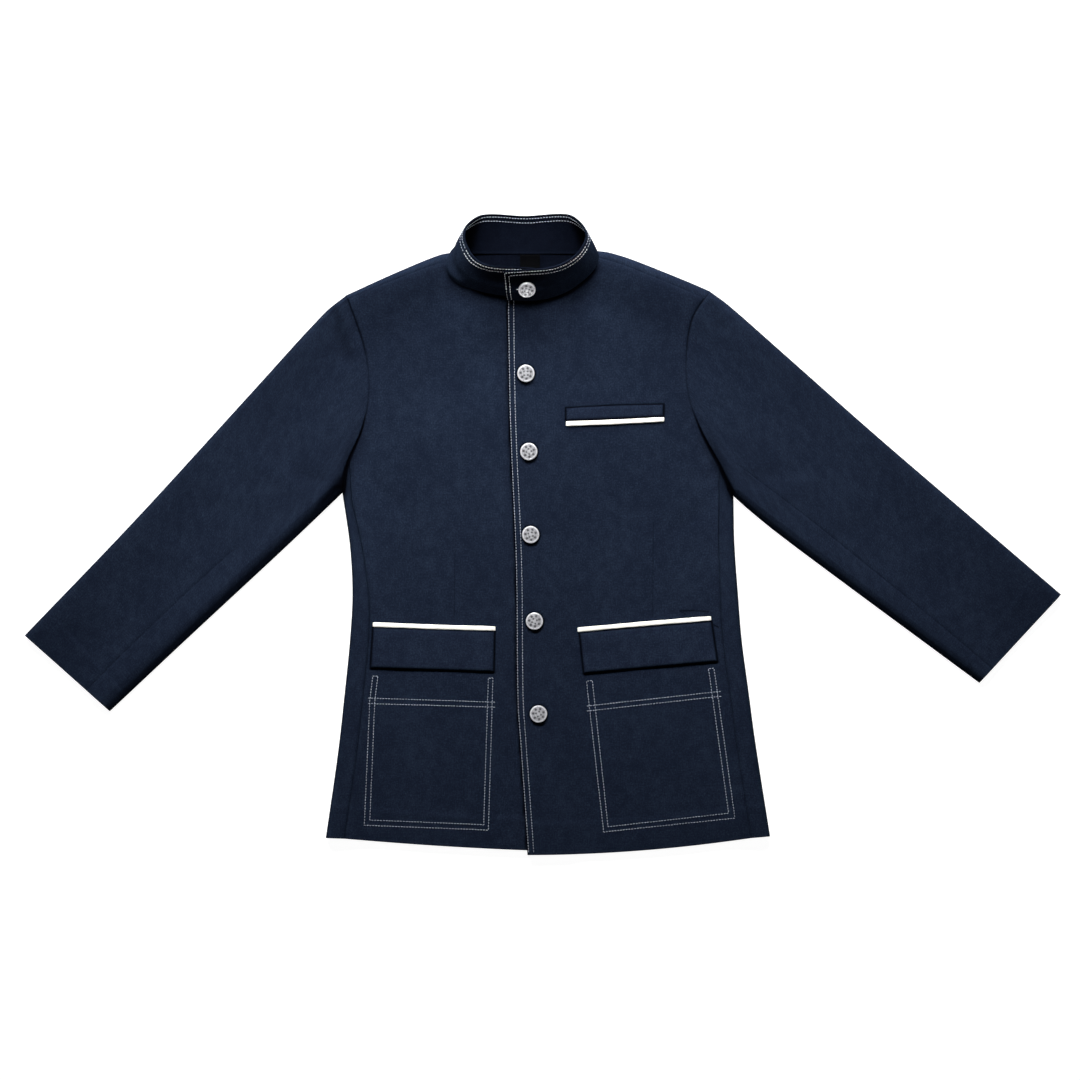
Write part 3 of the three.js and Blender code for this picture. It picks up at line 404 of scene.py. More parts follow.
def stretched_noise(tree, vector, per_metre, detail):
    """Noise from 0 to 1 whose grains have their own number per metre across and along the cloth."""
    scaled = vector_maths(tree, "MULTIPLY", vector, per_metre)
    made = node(tree, "ShaderNodeTexNoise", {"Vector": scaled, "Scale": 1.0, "Detail": detail,
                                             "Roughness": 0.55})
    return made.outputs["Fac"]


def weighed(tree, terms, start=0.0):
    """start plus each noise less its middle, times its weight."""
    total = start
    for socket, weight in terms:
        total = maths(tree, "MULTIPLY_ADD", maths(tree, "ADD", socket, -0.5), weight, total)
    return total


def new_group(name, inputs, outputs):
    """A node group whose sockets have these names and kinds, and its given sockets."""
    tree = bpy.data.node_groups.new(name, "ShaderNodeTree")
    for way, sockets in (("INPUT", inputs), ("OUTPUT", outputs)):
        for label, kind in sockets.items():
            tree.interface.new_socket(name=label, in_out=way, socket_type="NodeSocket" + kind)
    return tree, tree.nodes.new("NodeGroupInput").outputs


def make_denim_weave():
    """Denim twill on the cloth's own coordinates: steep diagonal ribs 0.8 mm apart, uneven warp
    yarns, fainter weft yarns, and soft clouds where the indigo took unevenly."""
    tree, given = new_group(
        "denim_weave",
        {"Cloth": "Vector", "Indigo": "Color", "Pale yarn": "Color", "Unevenness": "Float"},
        {"Color": "Color", "Roughness": "Float", "Height": "Float"})
    warp, weft, clouds, washes, fuzz, flecks = (
        stretched_noise(tree, given["Cloth"], per_metre, detail) for per_metre, detail in (
            ((850, 110, 1), 3), ((120, 700, 1), 3), ((85, 70, 1), 4), ((17, 12, 1), 2),
            ((1100, 900, 1), 2), ((520, 430, 1), 1)))
    place = vector_maths(tree, "DOT_PRODUCT", given["Cloth"], (6800, -3900, 0), "Value")
    rib = maths(tree, "MULTIPLY_ADD", maths(tree, "SINE", place), 0.5, 0.5)
    flecks = maths(tree, "MULTIPLY", maths(tree, "POWER", flecks, 3), 2.2)
    uneven = weighed(tree, [(warp, 0.6), (weft, 0.45), (clouds, 0.65), (washes, 0.45), (fuzz, 0.95),
                            (flecks, 0.55)])
    share = maths(tree, "MULTIPLY_ADD", uneven, given["Unevenness"], 0.22)
    share = maths(tree, "MULTIPLY_ADD", rib, 0.16, share, clamp=True)
    yarns = weighed(tree, [(warp, 0.9), (weft, 0.4), (fuzz, 0.8)])
    plug(tree, tree.nodes.new("NodeGroupOutput"), {
        "Color": mixed(tree, share, given["Indigo"], given["Pale yarn"]),
        "Roughness": weighed(tree, [(fuzz, 0.25), (warp, 0.15)], 0.82),
        "Height": maths(tree, "MULTIPLY_ADD", rib, 0.5, yarns)})
    return tree


def make_painted_shade_line():
    """Painted shade along a straight line between two places on the cloth: its depth on the line, easing
    to 0 at its half width.
    """
    tree, given = new_group("painted_shade_line", {"Cloth": "Vector", "Start": "Vector", "End": "Vector",
                                             "Half width": "Float", "Depth": "Float"},
                            {"Mask": "Float"})
    way = vector_maths(tree, "SUBTRACT", given["End"], given["Start"])
    here = vector_maths(tree, "SUBTRACT", given["Cloth"], given["Start"])
    run = maths(tree, "DIVIDE", vector_maths(tree, "DOT_PRODUCT", here, way, "Value"),
                vector_maths(tree, "DOT_PRODUCT", way, way, "Value"), clamp=True)
    near = node(tree, "ShaderNodeVectorMath", {0: way, "Scale": run}, operation="SCALE").outputs[0]
    gap = vector_maths(tree, "DISTANCE", here, near, "Value")
    mask = node(tree, "ShaderNodeMapRange", {"Value": gap, "From Min": 0.0,
                "From Max": given["Half width"], "To Min": given["Depth"], "To Max": 0.0},
                interpolation_type="SMOOTHSTEP")
    plug(tree, tree.nodes.new("NodeGroupOutput"), {"Mask": mask.outputs["Result"]})
    return tree


denim_weave, painted_shade_line = make_denim_weave(), make_painted_shade_line()


def new_material(name, coordinates="cloth"):
    """A new material, its node tree, and the piece's own coordinates of that name."""
    material = bpy.data.materials.new(name)
    material.use_nodes = True
    tree = material.node_tree
    return material, tree, node(tree, "ShaderNodeUVMap", uv_map=coordinates).outputs["UV"]


def coat(tree, color, height, depth, strength, others):
    """Gives the material's shader its colour, its bumps, so many metres deep, and other inputs."""
    bump = node(tree, "ShaderNodeBump", {"Height": height, "Distance": depth, "Strength": strength})
    plug(tree, tree.nodes["Principled BSDF"],
         {"Base Color": color, "Normal": bump.outputs["Normal"], **others})


def denim(name, indigo, pale_yarn, shade_lines=()):
    """A denim of its own shade, with shade painted where it lies deep in a seam or against an edge, and
    along painted shade lines: from x, y to x, y, half width, and depth from 0 to 1."""
    material, tree, cloth = new_material(name)
    weave = node(tree, "ShaderNodeGroup", {"Cloth": cloth, "Indigo": (*indigo, 1),
                                           "Pale yarn": (*pale_yarn, 1), "Unevenness": 1.1},
                 node_tree=denim_weave).outputs
    crevice = node(tree, "ShaderNodeAttribute", attribute_name="crevice").outputs["Fac"]
    for ax, ay, bx, by, half_width, depth in shade_lines:
        line = node(tree, "ShaderNodeGroup", {
            "Cloth": cloth, "Start": (ax * 0.001, ay * 0.001, 0), "End": (bx * 0.001, by * 0.001, 0),
            "Half width": half_width * 0.001, "Depth": depth}, node_tree=painted_shade_line)
        crevice = maths(tree, "MAXIMUM", crevice, line.outputs["Mask"])
    # Painted shade: the weave's colour is mixed towards near black by the shade painted on the points and
    # along the lines.
    coat(tree, mixed(tree, crevice, weave["Color"], (0.0002, 0.0003, 0.001)), weave["Height"],
         0.00022, 0.5, {"Roughness": weave["Roughness"], "Specular IOR Level": 0.008})
    return material


BODY_SHADE = (0.0063, 0.0098, 0.0202), (0.0186, 0.0288, 0.0512)
body_denim = denim("body_denim", *BODY_SHADE)
# A much darker copy of the denim for the inside faces: painted shade inside the neck.
painted_shade_inside_denim = denim("painted_shade_inside_denim", (0.0017, 0.0026, 0.0058), (0.0048, 0.0072, 0.0142))

BACK_CREASES = [          # soft rises of the underside off the surface
    (-150, -330, -120, -140, 14, 0.5), (60, -300, 110, -90, 11, 0.4), (-60, 40, 30, 190, 16, 0.5),
    (120, 120, 190, 240, 9, 0.6), (-190, 110, -130, 250, 10, 0.5), (150, -20, 215, 30, 8, 0.7),
    (-215, 30, -150, -40, 9, 0.6),
]


def back_side(half):
    """A side of the flat back: the seam below the side body, then the armhole up to the fold."""
    runs = np.linspace(BACK_SEAM_RUN, tip_run(half, "back_armhole"), 52)[1:]
    seam = side_seam(half, spaced(BACK_SEAM_LENGTH, 4), True)
    return np.concatenate([seam, half["back_armhole"].at(runs)])


STRIP_LENGTH = 22         # of the back's cloth, rolled over each shoulder


def shoulder_strip(half, f, low):
    """The back rolled up over one shoulder, from its flat part's edge to the shoulder seam: half a
    turn whose run inwards is 1 - cos(angle) and whose height is half the seam's (1 + sin(angle))."""
    seam = shoulder_seam(half, f)
    share = spaced(STRIP_LENGTH, 1.6, (0, 0.5, 1.1, 1.9))[1:, None]
    angle = np.pi * (share - 0.5)
    inwards = 1 - np.cos(angle)
    face = (angle > 0)[..., None]
    outermost = half["shoulder"].part(f)[None]
    plan = between(outermost, np.where(face, seam[None, :, :2], low[None]), inwards[..., None])
    run = half["shoulder_fold"] * inwards
    front, below = half["armhole"], half["back_armhole"]
    tip = np.where(face, front.at(front.length - run), below.at(below.length - run))
    plan = plan + (tip - plan[:, -1:]) * (f ** 8)[None, :, None]
    plan = plan - np.multiply.outer(8 * bell(f, 0.03) * ease(share / 0.2), (half["out"], 0))
    top = seam[:, 2] / 2 * (1 + np.sin(angle)) + seam_roll((1 - share) * STRIP_LENGTH, 0.4)
    return raised(plan, top)


def back_grid():
    """The back's outer face, and which of its cells are cloth: none beyond the neckline."""
    f = spaced(SHOULDER_LENGTH, 4)
    sides, low = [back_side(half) for half in HALVES], []
    for half, side in zip(HALVES, sides):
        neck_end = half["shoulder"].part(0) - (7 * half["out"], half["shoulder_fold"])
        low.append(shoulder_line(half, f, neck_end, side[-1]))
    g = np.linspace(0, 1, 42)[1:-1, None]
    neck = between(low[0][0], low[1][0], g) + np.append(0 * g, 400 * g * (1 - g), 1)
    neck[:, 1] = np.minimum(neck[:, 1], 337.3)
    top = np.concatenate([low[0][::-1], neck, low[1]])
    plan = patch(hem_line(sides[0][0], sides[1][0], shares(top), 32), top, *sides)
    x, y = plan[..., 0], plan[..., 1]
    z = np.maximum(0, creases(plan, BACK_CREASES)) * (1 - bell(y - 330, 25))
    z = z + NECK_RISE * bell(y - 337, 6) * bell(x + 22, 60)
    for side in sides:
        z = z + 0.8 * bell(length(plan - side[:, None]), 1.5)
    right, left = (shoulder_strip(half, f, edge) for half, edge in zip(HALVES, low))
    across = np.broadcast_to(np.append(neck, 0 * g, 1), (len(right), len(neck), 3))
    strips = np.concatenate([right[:, ::-1], across, left], 1)
    keep = np.ones((len(plan) + len(strips) - 1, len(top) - 1), bool)
    keep[len(plan) - 1:, len(f) - 1:-(len(f) - 1)] = False
    return np.concatenate([raised(plan, z), strips]), keep


grid, keep = back_grid()
panel("back", grid, -1, np.stack([grid[..., 0], flat_run(grid, 0)], -1), body_denim,
      (560, 760, 303000), ["floor"], inside=painted_shade_inside_denim, keep=keep)


# ---- Side bodies ----
# The narrow panels under the arms. Each wraps its side fold, sewn to its front on the face and to
# the back below, so that both seams lie a few centimetres in from the outline.

SIDE_LENGTH = 414
HEM_WIDTH = 40            # the hem and cuffs are turned in this far
RIGHT["pressed_run"], LEFT["pressed_run"] = 20, 36    # the sleeve presses on the body up to here


def turned_hem(distance):
    """The extra height where the hem is turned in: a faint ridge at its edge, then a step down."""
    step = 0.4 * (1 - ease((distance - HEM_WIDTH + 3) / 5))
    return step + 0.3 * bell(distance - HEM_WIDTH + 4, 2.5) - 0.35 * bell(distance - HEM_WIDTH, 1.6)


def armhole_depth(half, run):
    """How deep the armhole seam is pressed in, that far up from the underarm: deepest in its lower
    part, where the sleeve presses on the body, shallow in the middle, deeper again at the top."""
    share = np.asarray(run, float) / half["armhole"].length
    return 0.35 + 0.65 * (1 - ease((share - 0.3) / 0.2)) + 0.4 * ease((share - 0.62) / 0.15)


def nearest(plan, line):
    """Distance in plan to the nearest of a line's points, and which one it is."""
    spots = plan.reshape(-1, plan.shape[-1])
    gap = np.hypot(spots[:, :1] - line[:, 0], spots[:, 1:2] - line[:, 1])
    return gap.min(1).reshape(plan.shape[:-1]), gap.argmin(1).reshape(plan.shape[:-1])


def armhole_shade(half, plan):
    """Painted shade along the armhole seam: a line that widens to the underarm, where the sleeve is
    pushed against the body, and a soft darker band beside it there."""
    runs = np.linspace(0, half["armhole"].length, 220)
    gap, which = nearest(plan, half["armhole"].at(runs))
    low = 1 - ease((runs[which] - half["pressed_run"]) / 90)
    wide = 1 + 1.5 * low + 1.3 * bell(runs[which], 22)
    line = (1.2 + low) * armhole_depth(half, runs[which]) * bell(gap, wide)
    return np.clip(np.maximum(line, 0.65 * low * bell(gap, 8)), 0, 1)


def side_rows(face_at, below_at, face_width, below_width, height):
    """Rows round a side fold: in from the face seam, half a turn round the fold, out to the seam
    below. Widths are one a row; face_at and below_at give the plan at insets from the fold."""
    share = spaced(24, 2.4)[None]
    inset = between(face_width[:, None], FOLD_HALF_WIDTH, share)
    face = raised(face_at(inset), height(inset) + seam_roll(face_width[:, None] - inset))
    angle = np.linspace(np.pi / 2, -np.pi / 2, 16)[1:-1]
    run = np.broadcast_to(FOLD_HALF_WIDTH * (1 - np.cos(angle)), (len(face), len(angle)))
    plan = np.where((angle > 0)[:, None], face_at(run), below_at(run))
    fold = raised(plan, face[:, -1:, 2] / 2 * (1 + np.sin(angle)))
    inset = between(FOLD_HALF_WIDTH, below_width[:, None], share)
    below = raised(below_at(inset), 0.8 * bell(below_width[:, None] - inset, 1.5))
    return np.concatenate([face, fold, below], 1)


def side_grid(half):
    """Straight rows from the fold to both seams, the last one bent onto the armhole; and the shade
    painted on each point in the seams."""
    f = spaced(SIDE_LENGTH, 3.2)
    held = np.minimum(f, STRAIGHT_SHARE)
    y = between(*half["side"].points[[0, -1], 1], held)
    fold = np.stack([edge_x(half, y), y], -1)
    reaches = [side_seam(half, held, below) - fold for below in (False, True)]
    face_at, below_at = (lambda inset, way=reach / length(reach)[:, None]:
                         fold[:, None] + way[:, None] * inset[..., None] for reach in reaches)
    rows = side_rows(face_at, below_at, *map(length, reaches), side_height)
    end = side_rows(half["armhole"].at, half["back_armhole"].at, np.array([SIDE_SEAM_RUN]),
                    np.array([BACK_SEAM_RUN]), lambda run: armhole_top(half, run))
    rows = between(rows, end, bent_share(f)[:, None, None])
    upper = ease((rows[..., 2] / rows[..., 2].max(1, keepdims=True) - 0.3) / 0.5)
    run = f[:, None] * SIDE_LENGTH
    rows[..., 2] += upper * (turned_hem(run) + seam_roll(SIDE_LENGTH - run))
    # Painted shade down the lower part of the side seam, and along the armhole.
    seam = 0.3 * bell(length(rows[..., :2] - rows[:, :1, :2]), 0.9) * ease((-40 - rows[..., 1]) / 60)
    return rows, upper * np.maximum(seam, armhole_shade(half, rows))


for half in HALVES:
    grid, crevice = side_grid(half)
    panel("side_" + half["name"], grid, half["out"], np.stack([flat_run(grid, 1), grid[..., 1]], -1),
          body_denim, (90, 430, 24800), ["floor", "back"], crevice=crevice)


# ---- Fronts ----
# Two wide panels from the side seam to the front edge. The wearer's left one laps over the right
# one and is lifted by it. A dart shapes each waist above the hip pocket.

FRONT_EDGE_LENGTH = 664
FRONT_WIDTH = 240
SIDE_POINTS = 260         # points along the side seam, before those up the armhole
LAP_LIFT, LAP_REACH = 2.6, 30     # how high the upper front is lifted, and over which width
BUTTON_SHADE = 10.5       # radius from which the cloth round a button is out of its shade

FRONT_CREASES = {         # from x, y to x, y; half width; rise, or minus for a trough
    "right": [
        (-107, -98, -106, -20, 2.2, -0.45), (-107, -98, -106, -20, 7, 0.3),
        (-206, 150, -196, 70, 9, 0.9), (-190, 245, -205, 190, 10, -0.8),
        (-170, 262, -140, 205, 14, 0.5), (-215, 60, -150, 20, 10, -0.6),
        (-95, 250, -75, 120, 20, 0.5), (-60, -10, -50, -260, 16, 0.35),
        (-150, -250, -135, -360, 13, 0.4), (-180, -30, -120, 60, 22, 0.5),
    ],
    "left": [
        (131, -98, 132, 15, 2.2, -0.45), (131, -98, 132, 15, 7, 0.3),
        (182, 120, 196, 75, 9, 1.1), (186, 278, 176, 235, 9, -0.9),
        (150, 268, 120, 215, 14, 0.5), (205, 40, 150, 0, 10, -0.6),
        (62, 270, 50, 190, 16, 0.6), (70, 40, 60, -80, 18, 0.35),
        (150, -260, 160, -350, 13, 0.4), (110, 80, 170, 20, 22, 0.4),
    ],
}


def sewn_edge(half):
    """x, y, height and run up the armhole of points along the side seam and then the armhole."""
    f = np.linspace(0, 1, SIDE_POINTS)
    side = side_seam(half, f)
    inset = length(side - np.stack([edge_x(half, side[:, 1]), side[:, 1]], -1))
    side_z = between(side_height(inset), armhole_top(half, SIDE_SEAM_RUN), bent_share(f))
    runs = np.linspace(SIDE_SEAM_RUN, tip_run(half), 170)[1:]
    plan = np.concatenate([side, half["armhole"].at(runs)])
    return np.column_stack([plan, np.append(side_z, armhole_top(half, runs)), np.append(0 * f, runs)])


def front_edge(half, f):
    """The front edge, drawn to the neckline's first point near its top."""
    shift = neck_seam(half, 0) - half["edge"].part(1)
    return half["edge"].part(f) + np.multiply.outer(np.power(f, 8.0), shift)


def lap_lift(half, plan):
    """Rise of the upper front over the lower one's edge, coming down again past it."""
    edge = np.interp(plan[..., 1], (-380, 284), (17, 2))
    return LAP_LIFT * (half is LEFT) * (1 - ease((plan[..., 0] - edge - 4) / LAP_REACH))


for half in HALVES:
    half["sewn"] = sewn_edge(half)
    half["shoulder_edge"] = shoulder_seam(half, np.linspace(0, 1, 120))
    half["hem"] = hem_line(front_edge(half, 0), side_seam(half, 0), np.linspace(0, 1, 90),
                           4 * half["hem_bow"])
    f = np.linspace(0, 1, 160)
    plan = neck_seam(half, f)
    seam_z = collar_at(between(*half["neckline"], f))[:, 2] - SEAM_GAP
    rise = np.maximum(0, seam_z - body_top(half, plan) - lap_lift(half, plan))
    half["neck_rise"] = raised(plan, rise)


def front_top(half, plan):
    """Height of a front's face: the body's top, brought to its seams' own heights beside them, with
    the lap, the turned hem, the seams' rolls and the creases."""
    gap, which = nearest(plan, half["sewn"])
    at = half["sewn"][which]
    z = body_top(half, plan) + (at[..., 2] - body_top(half, at)) * bell(gap, 18)
    side_depth = between(0.15, 0.7, ease((-30 - plan[..., 1]) / 70))
    deep = np.where(which < SIDE_POINTS, side_depth, armhole_depth(half, at[..., 3]))
    z = z + seam_roll(gap, deep) + seam_roll(nearest(plan, half["shoulder_edge"])[0], 0.4)
    z = z + turned_hem(nearest(plan, half["hem"])[0]) + lap_lift(half, plan)
    gap, which = nearest(plan, half["neck_rise"])
    z = z + half["neck_rise"][which][..., 2] * bell(gap, 11)
    return z + creases(plan, FRONT_CREASES[half["name"]])


def front_grid(half):
    """A front between its edge and neckline, its side seam and armhole, its hem and shoulder."""
    edge, neck = front_edge(half, spaced(FRONT_EDGE_LENGTH, 3)), neck_seam(half, np.linspace(0, 1, 46))
    first = np.concatenate([edge, neck[1:]])
    side = side_seam(half, spaced(SIDE_LENGTH, 3))
    runs = np.linspace(SIDE_SEAM_RUN, tip_run(half), len(first) - len(side) + 1)[1:]
    last = np.concatenate([side, half["armhole"].at(runs)])
    f = spaced(FRONT_WIDTH, 2.9)
    bottom = hem_line(first[0], last[0], f, 4 * half["hem_bow"])
    plan = patch(bottom, shoulder_line(half, f, first[-1], last[-1]), first, last)
    return raised(plan, front_top(half, plan))


# Corners of what is sewn on the fronts: flaps by their top and bottom corners, the chest welt by
# its lower and upper edge.
FLAP_CORNERS = {
    "left": [(43, -117.6), (201.8, -104), (48.2, -166.8), (209, -152.4)],
    "right": [(-204.4, -111.3), (-58.2, -116.2), (-207.4, -160.2), (-59.2, -164.8)],
}
WELT_LOWER = [(26.7, 136.2), (85, 138.4), (144.5, 141.2)]
WELT_UPPER = [(26.7, 152), (85, 155.2), (144.5, 156.5)]


def painted_shade_round(name):
    """Painted shade lines down both ends of a flap and below it."""
    top_left, top_right, low_left, low_right = FLAP_CORNERS[name]
    return [(*top_left, *low_left, 2.6, 0.9), (*top_right, *low_right, 2.6, 0.9),
            (*low_left, *low_right, 3, 0.95)]


# Painted shade lines on the fronts: round each flap and the chest welt, along the dart, and a few short
# lines near the left flap's top.
PAINTED_SHADE_LINES = {               # from x, y to x, y; half width; depth
    "right": painted_shade_round("right") + [(-107, -98, -106, -20, 1.2, 0.3)],
    "left": painted_shade_round("left") + [
        (131, -98, 132, 15, 1.2, 0.3), (164, -91.6, 181, -91.2, 1.7, 0.75),
        (181, -91.2, 198, -92.6, 1.3, 0.6), (164, -92, 170, -95.4, 1.5, 0.5),
        (202.4, -107.4, 209.6, -111, 1.7, 0.8),
        (*WELT_LOWER[0], *WELT_UPPER[0], 2.2, 0.9), (*WELT_UPPER[0], *WELT_UPPER[1], 2.2, 0.9),
        (*WELT_UPPER[1], *WELT_UPPER[2], 2.2, 0.9), (*WELT_UPPER[2], *WELT_LOWER[2], 2.6, 0.9),
    ],
}
FRONT_BUTTONS = [(-20.9, 193.1), (-17.4, 99.4), (-15.2, -0.2), (-10.7, -103.9), (-5.8, -215.2)]


def front_crevice(half, grid):
    """Painted shade on the front: along the armhole, under the collar and the buttons, where the upper
    front laps over, and fainter down the side seam."""
    gap, which = nearest(grid, half["sewn"])
    side = 0.3 * bell(gap, 0.9) * ease((-40 - grid[..., 1]) / 60) * (which < SIDE_POINTS)
    lap = 1.3 * bell(nearest(grid, front_edge(LEFT, np.linspace(0, 1, 400)))[0], 1.4)
    neck = 1.6 * bell(nearest(grid, half["neck_rise"])[0], 4.5) * ease((332 - grid[..., 1]) / 26)
    neck = neck * (1 - 0.6 * ease((-60 - grid[..., 0]) / 30))
    button = nearest(grid, np.array(FRONT_BUTTONS))[0]
    under_button = 1.3 * bell(np.maximum(0, button - BUTTON_SHADE), 1.3)
    return np.clip(np.maximum.reduce([side, armhole_shade(half, grid), lap, neck, under_button]), 0, 0.98)


for half in HALVES:
    grid, name = front_grid(half), "front_" + half["name"]
    under = ["back", "side_" + half["name"]] + ["front_right"] * (half is LEFT)
    panel(name, grid, half["out"], grid[..., :2],
          denim(name + "_denim", *BODY_SHADE, PAINTED_SHADE_LINES[half["name"]]), (285, 690, 160000), under,
          crevice=front_crevice(half, grid))


# ---- Sleeves ----
# Two pieces each: a top sleeve over the outer fold and an under sleeve round the lower one. They
# are set in at the armhole and lie nearly flat, a little full at the head.

SLEEVE_LENGTH = 540
SLEEVE_OUTER_HEIGHT, SLEEVE_OUTER_WIDTH = 9.5, 36     # the outer fold
SLEEVE_HEAD_HEIGHT, SLEEVE_CUFF_HEIGHT = 9.5, 6.5     # top of the sleeve's middle
SLEEVE_SEAM_RUN, ELBOW_SEAM_RUN = 75, 65              # where the seams reach the armholes
ELBOW_SEAM_INSET = 35                                 # elbow seam below, from the outer fold

# Two numbers are near the body and at the cuff: the front seam's inset from the lower fold, how far the
# lower edge's cloth is spread, and how wide the shade painted on the lower edge is, with that shade's
# swell near the body. seam_shown is the share of the length past which the seam shows; lower_fold is its
# height and width.
RIGHT.update(sleeve_seam=(53, 38), seam_shown=0.4, soft_edge=(12, 8), dark_edge=(19, 10, 0.9),
             lower_fold=(9.5, 34))
LEFT.update(sleeve_seam=(54.5, 20.5), seam_shown=0.06, soft_edge=(9, 4), dark_edge=(13, 8, 0.1),
            lower_fold=(9, 30))

SLEEVE_CREASES = {
    "right": [
        (-254, 275, -234, 205, 7, -3.4), (-236, 280, -221, 240, 4, -1.8), (-285, 232, -262, 150, 12, 0.6),
        (-300, 60, -360, 90, 13, 0.7), (-330, 20, -420, 40, 12, -0.6),
        (-400, -40, -470, -10, 14, 0.6), (-470, -120, -540, -80, 12, 0.5),
        (-250, 60, -300, 75, 10, -0.8), (-540, -130, -580, -110, 10, -0.4),
    ],
    "left": [
        (203, 279, 214, 243, 7, -2), (236, 235, 214, 160, 12, 0.8),
        (262, 40, 330, 62, 13, 0.7), (330, -10, 400, 20, 12, -0.6),
        (400, -70, 460, -20, 14, 0.6), (470, -110, 530, -60, 12, 0.5),
        (240, 60, 290, 80, 10, -0.8), (545, -110, 585, -90, 10, -0.4),
    ],
}


def sleeve_columns(half):
    """The columns round a sleeve, from the elbow seam below over the outer fold, the face and the
    lower fold back to it: on the face or not, run on the armhole, lift on a fold, outer or not."""
    front_end, back_end = half["armhole"].length, half["back_armhole"].length
    elbow = back_end - ELBOW_SEAM_RUN
    angle = np.linspace(-np.pi / 2, np.pi / 2, 17)[1:-1]
    inwards, lift, flat = 1 - np.cos(angle), (1 + np.sin(angle)) / 2, -1.0

    def block(*columns):
        """Neighbouring columns from their four values, each one for all or one for each."""
        return np.stack(np.broadcast_arrays(*columns), -1).astype(float)

    end = np.where(angle > 0, front_end, back_end)
    high = spaced(tip_run(half) - SLEEVE_SEAM_RUN, 3, (0, 0.5, 1.1, 1.9))
    near = spaced(SLEEVE_SEAM_RUN - FOLD_HALF_WIDTH, 4, (0, 0.9, 2.0, 3.6))
    return np.concatenate([
        block(0, between(elbow, tip_run(half, "back_armhole"), spaced(30, 3.5)), flat, 1),
        block(angle > 0, end - half["shoulder_fold"] * inwards, lift, 1),
        block(1, between(tip_run(half), SLEEVE_SEAM_RUN, high), flat, 1),
        block(1, between(SLEEVE_SEAM_RUN, FOLD_HALF_WIDTH, near), flat, 0)[1:],
        block(angle > 0, FOLD_HALF_WIDTH * inwards, lift, 0)[::-1],
        block(0, between(FOLD_HALF_WIDTH, elbow, spaced(120, 4)), flat, 0),
    ])


def sleeve_insets(half, columns, width, fold, t):
    """Inset of each column from the lower edge, for sections of these widths and outer folds."""
    face, run, lift, outer = columns.T
    front_seam = between(*half["sleeve_seam"], t)[:, None]
    elbow = half["back_armhole"].length - ELBOW_SEAM_RUN

    def stretch(inset, end_inset, start, end):
        """The inset mixed evenly with end_inset as run goes from start to end."""
        return between(inset, end_inset, (run - start) / (end - start))

    near = stretch(FOLD_HALF_WIDTH, front_seam, FOLD_HALF_WIDTH, SLEEVE_SEAM_RUN)
    far = stretch(front_seam, width - fold, SLEEVE_SEAM_RUN, tip_run(half))
    wide = stretch(FOLD_HALF_WIDTH, width - ELBOW_SEAM_INSET, FOLD_HALF_WIDTH, elbow)
    last = stretch(width - ELBOW_SEAM_INSET, width - fold, elbow, tip_run(half, "back_armhole"))
    flat = np.where(face > 0, np.where(run <= SLEEVE_SEAM_RUN, near, far),
                    np.where(run <= elbow, wide, last))
    inwards = 1 - np.cos(np.arcsin(np.clip(2 * lift - 1, -1, 1)))
    rolled = np.where(outer > 0, width - fold * inwards, FOLD_HALF_WIDTH * inwards)
    return np.where(lift >= 0, rolled, flat)


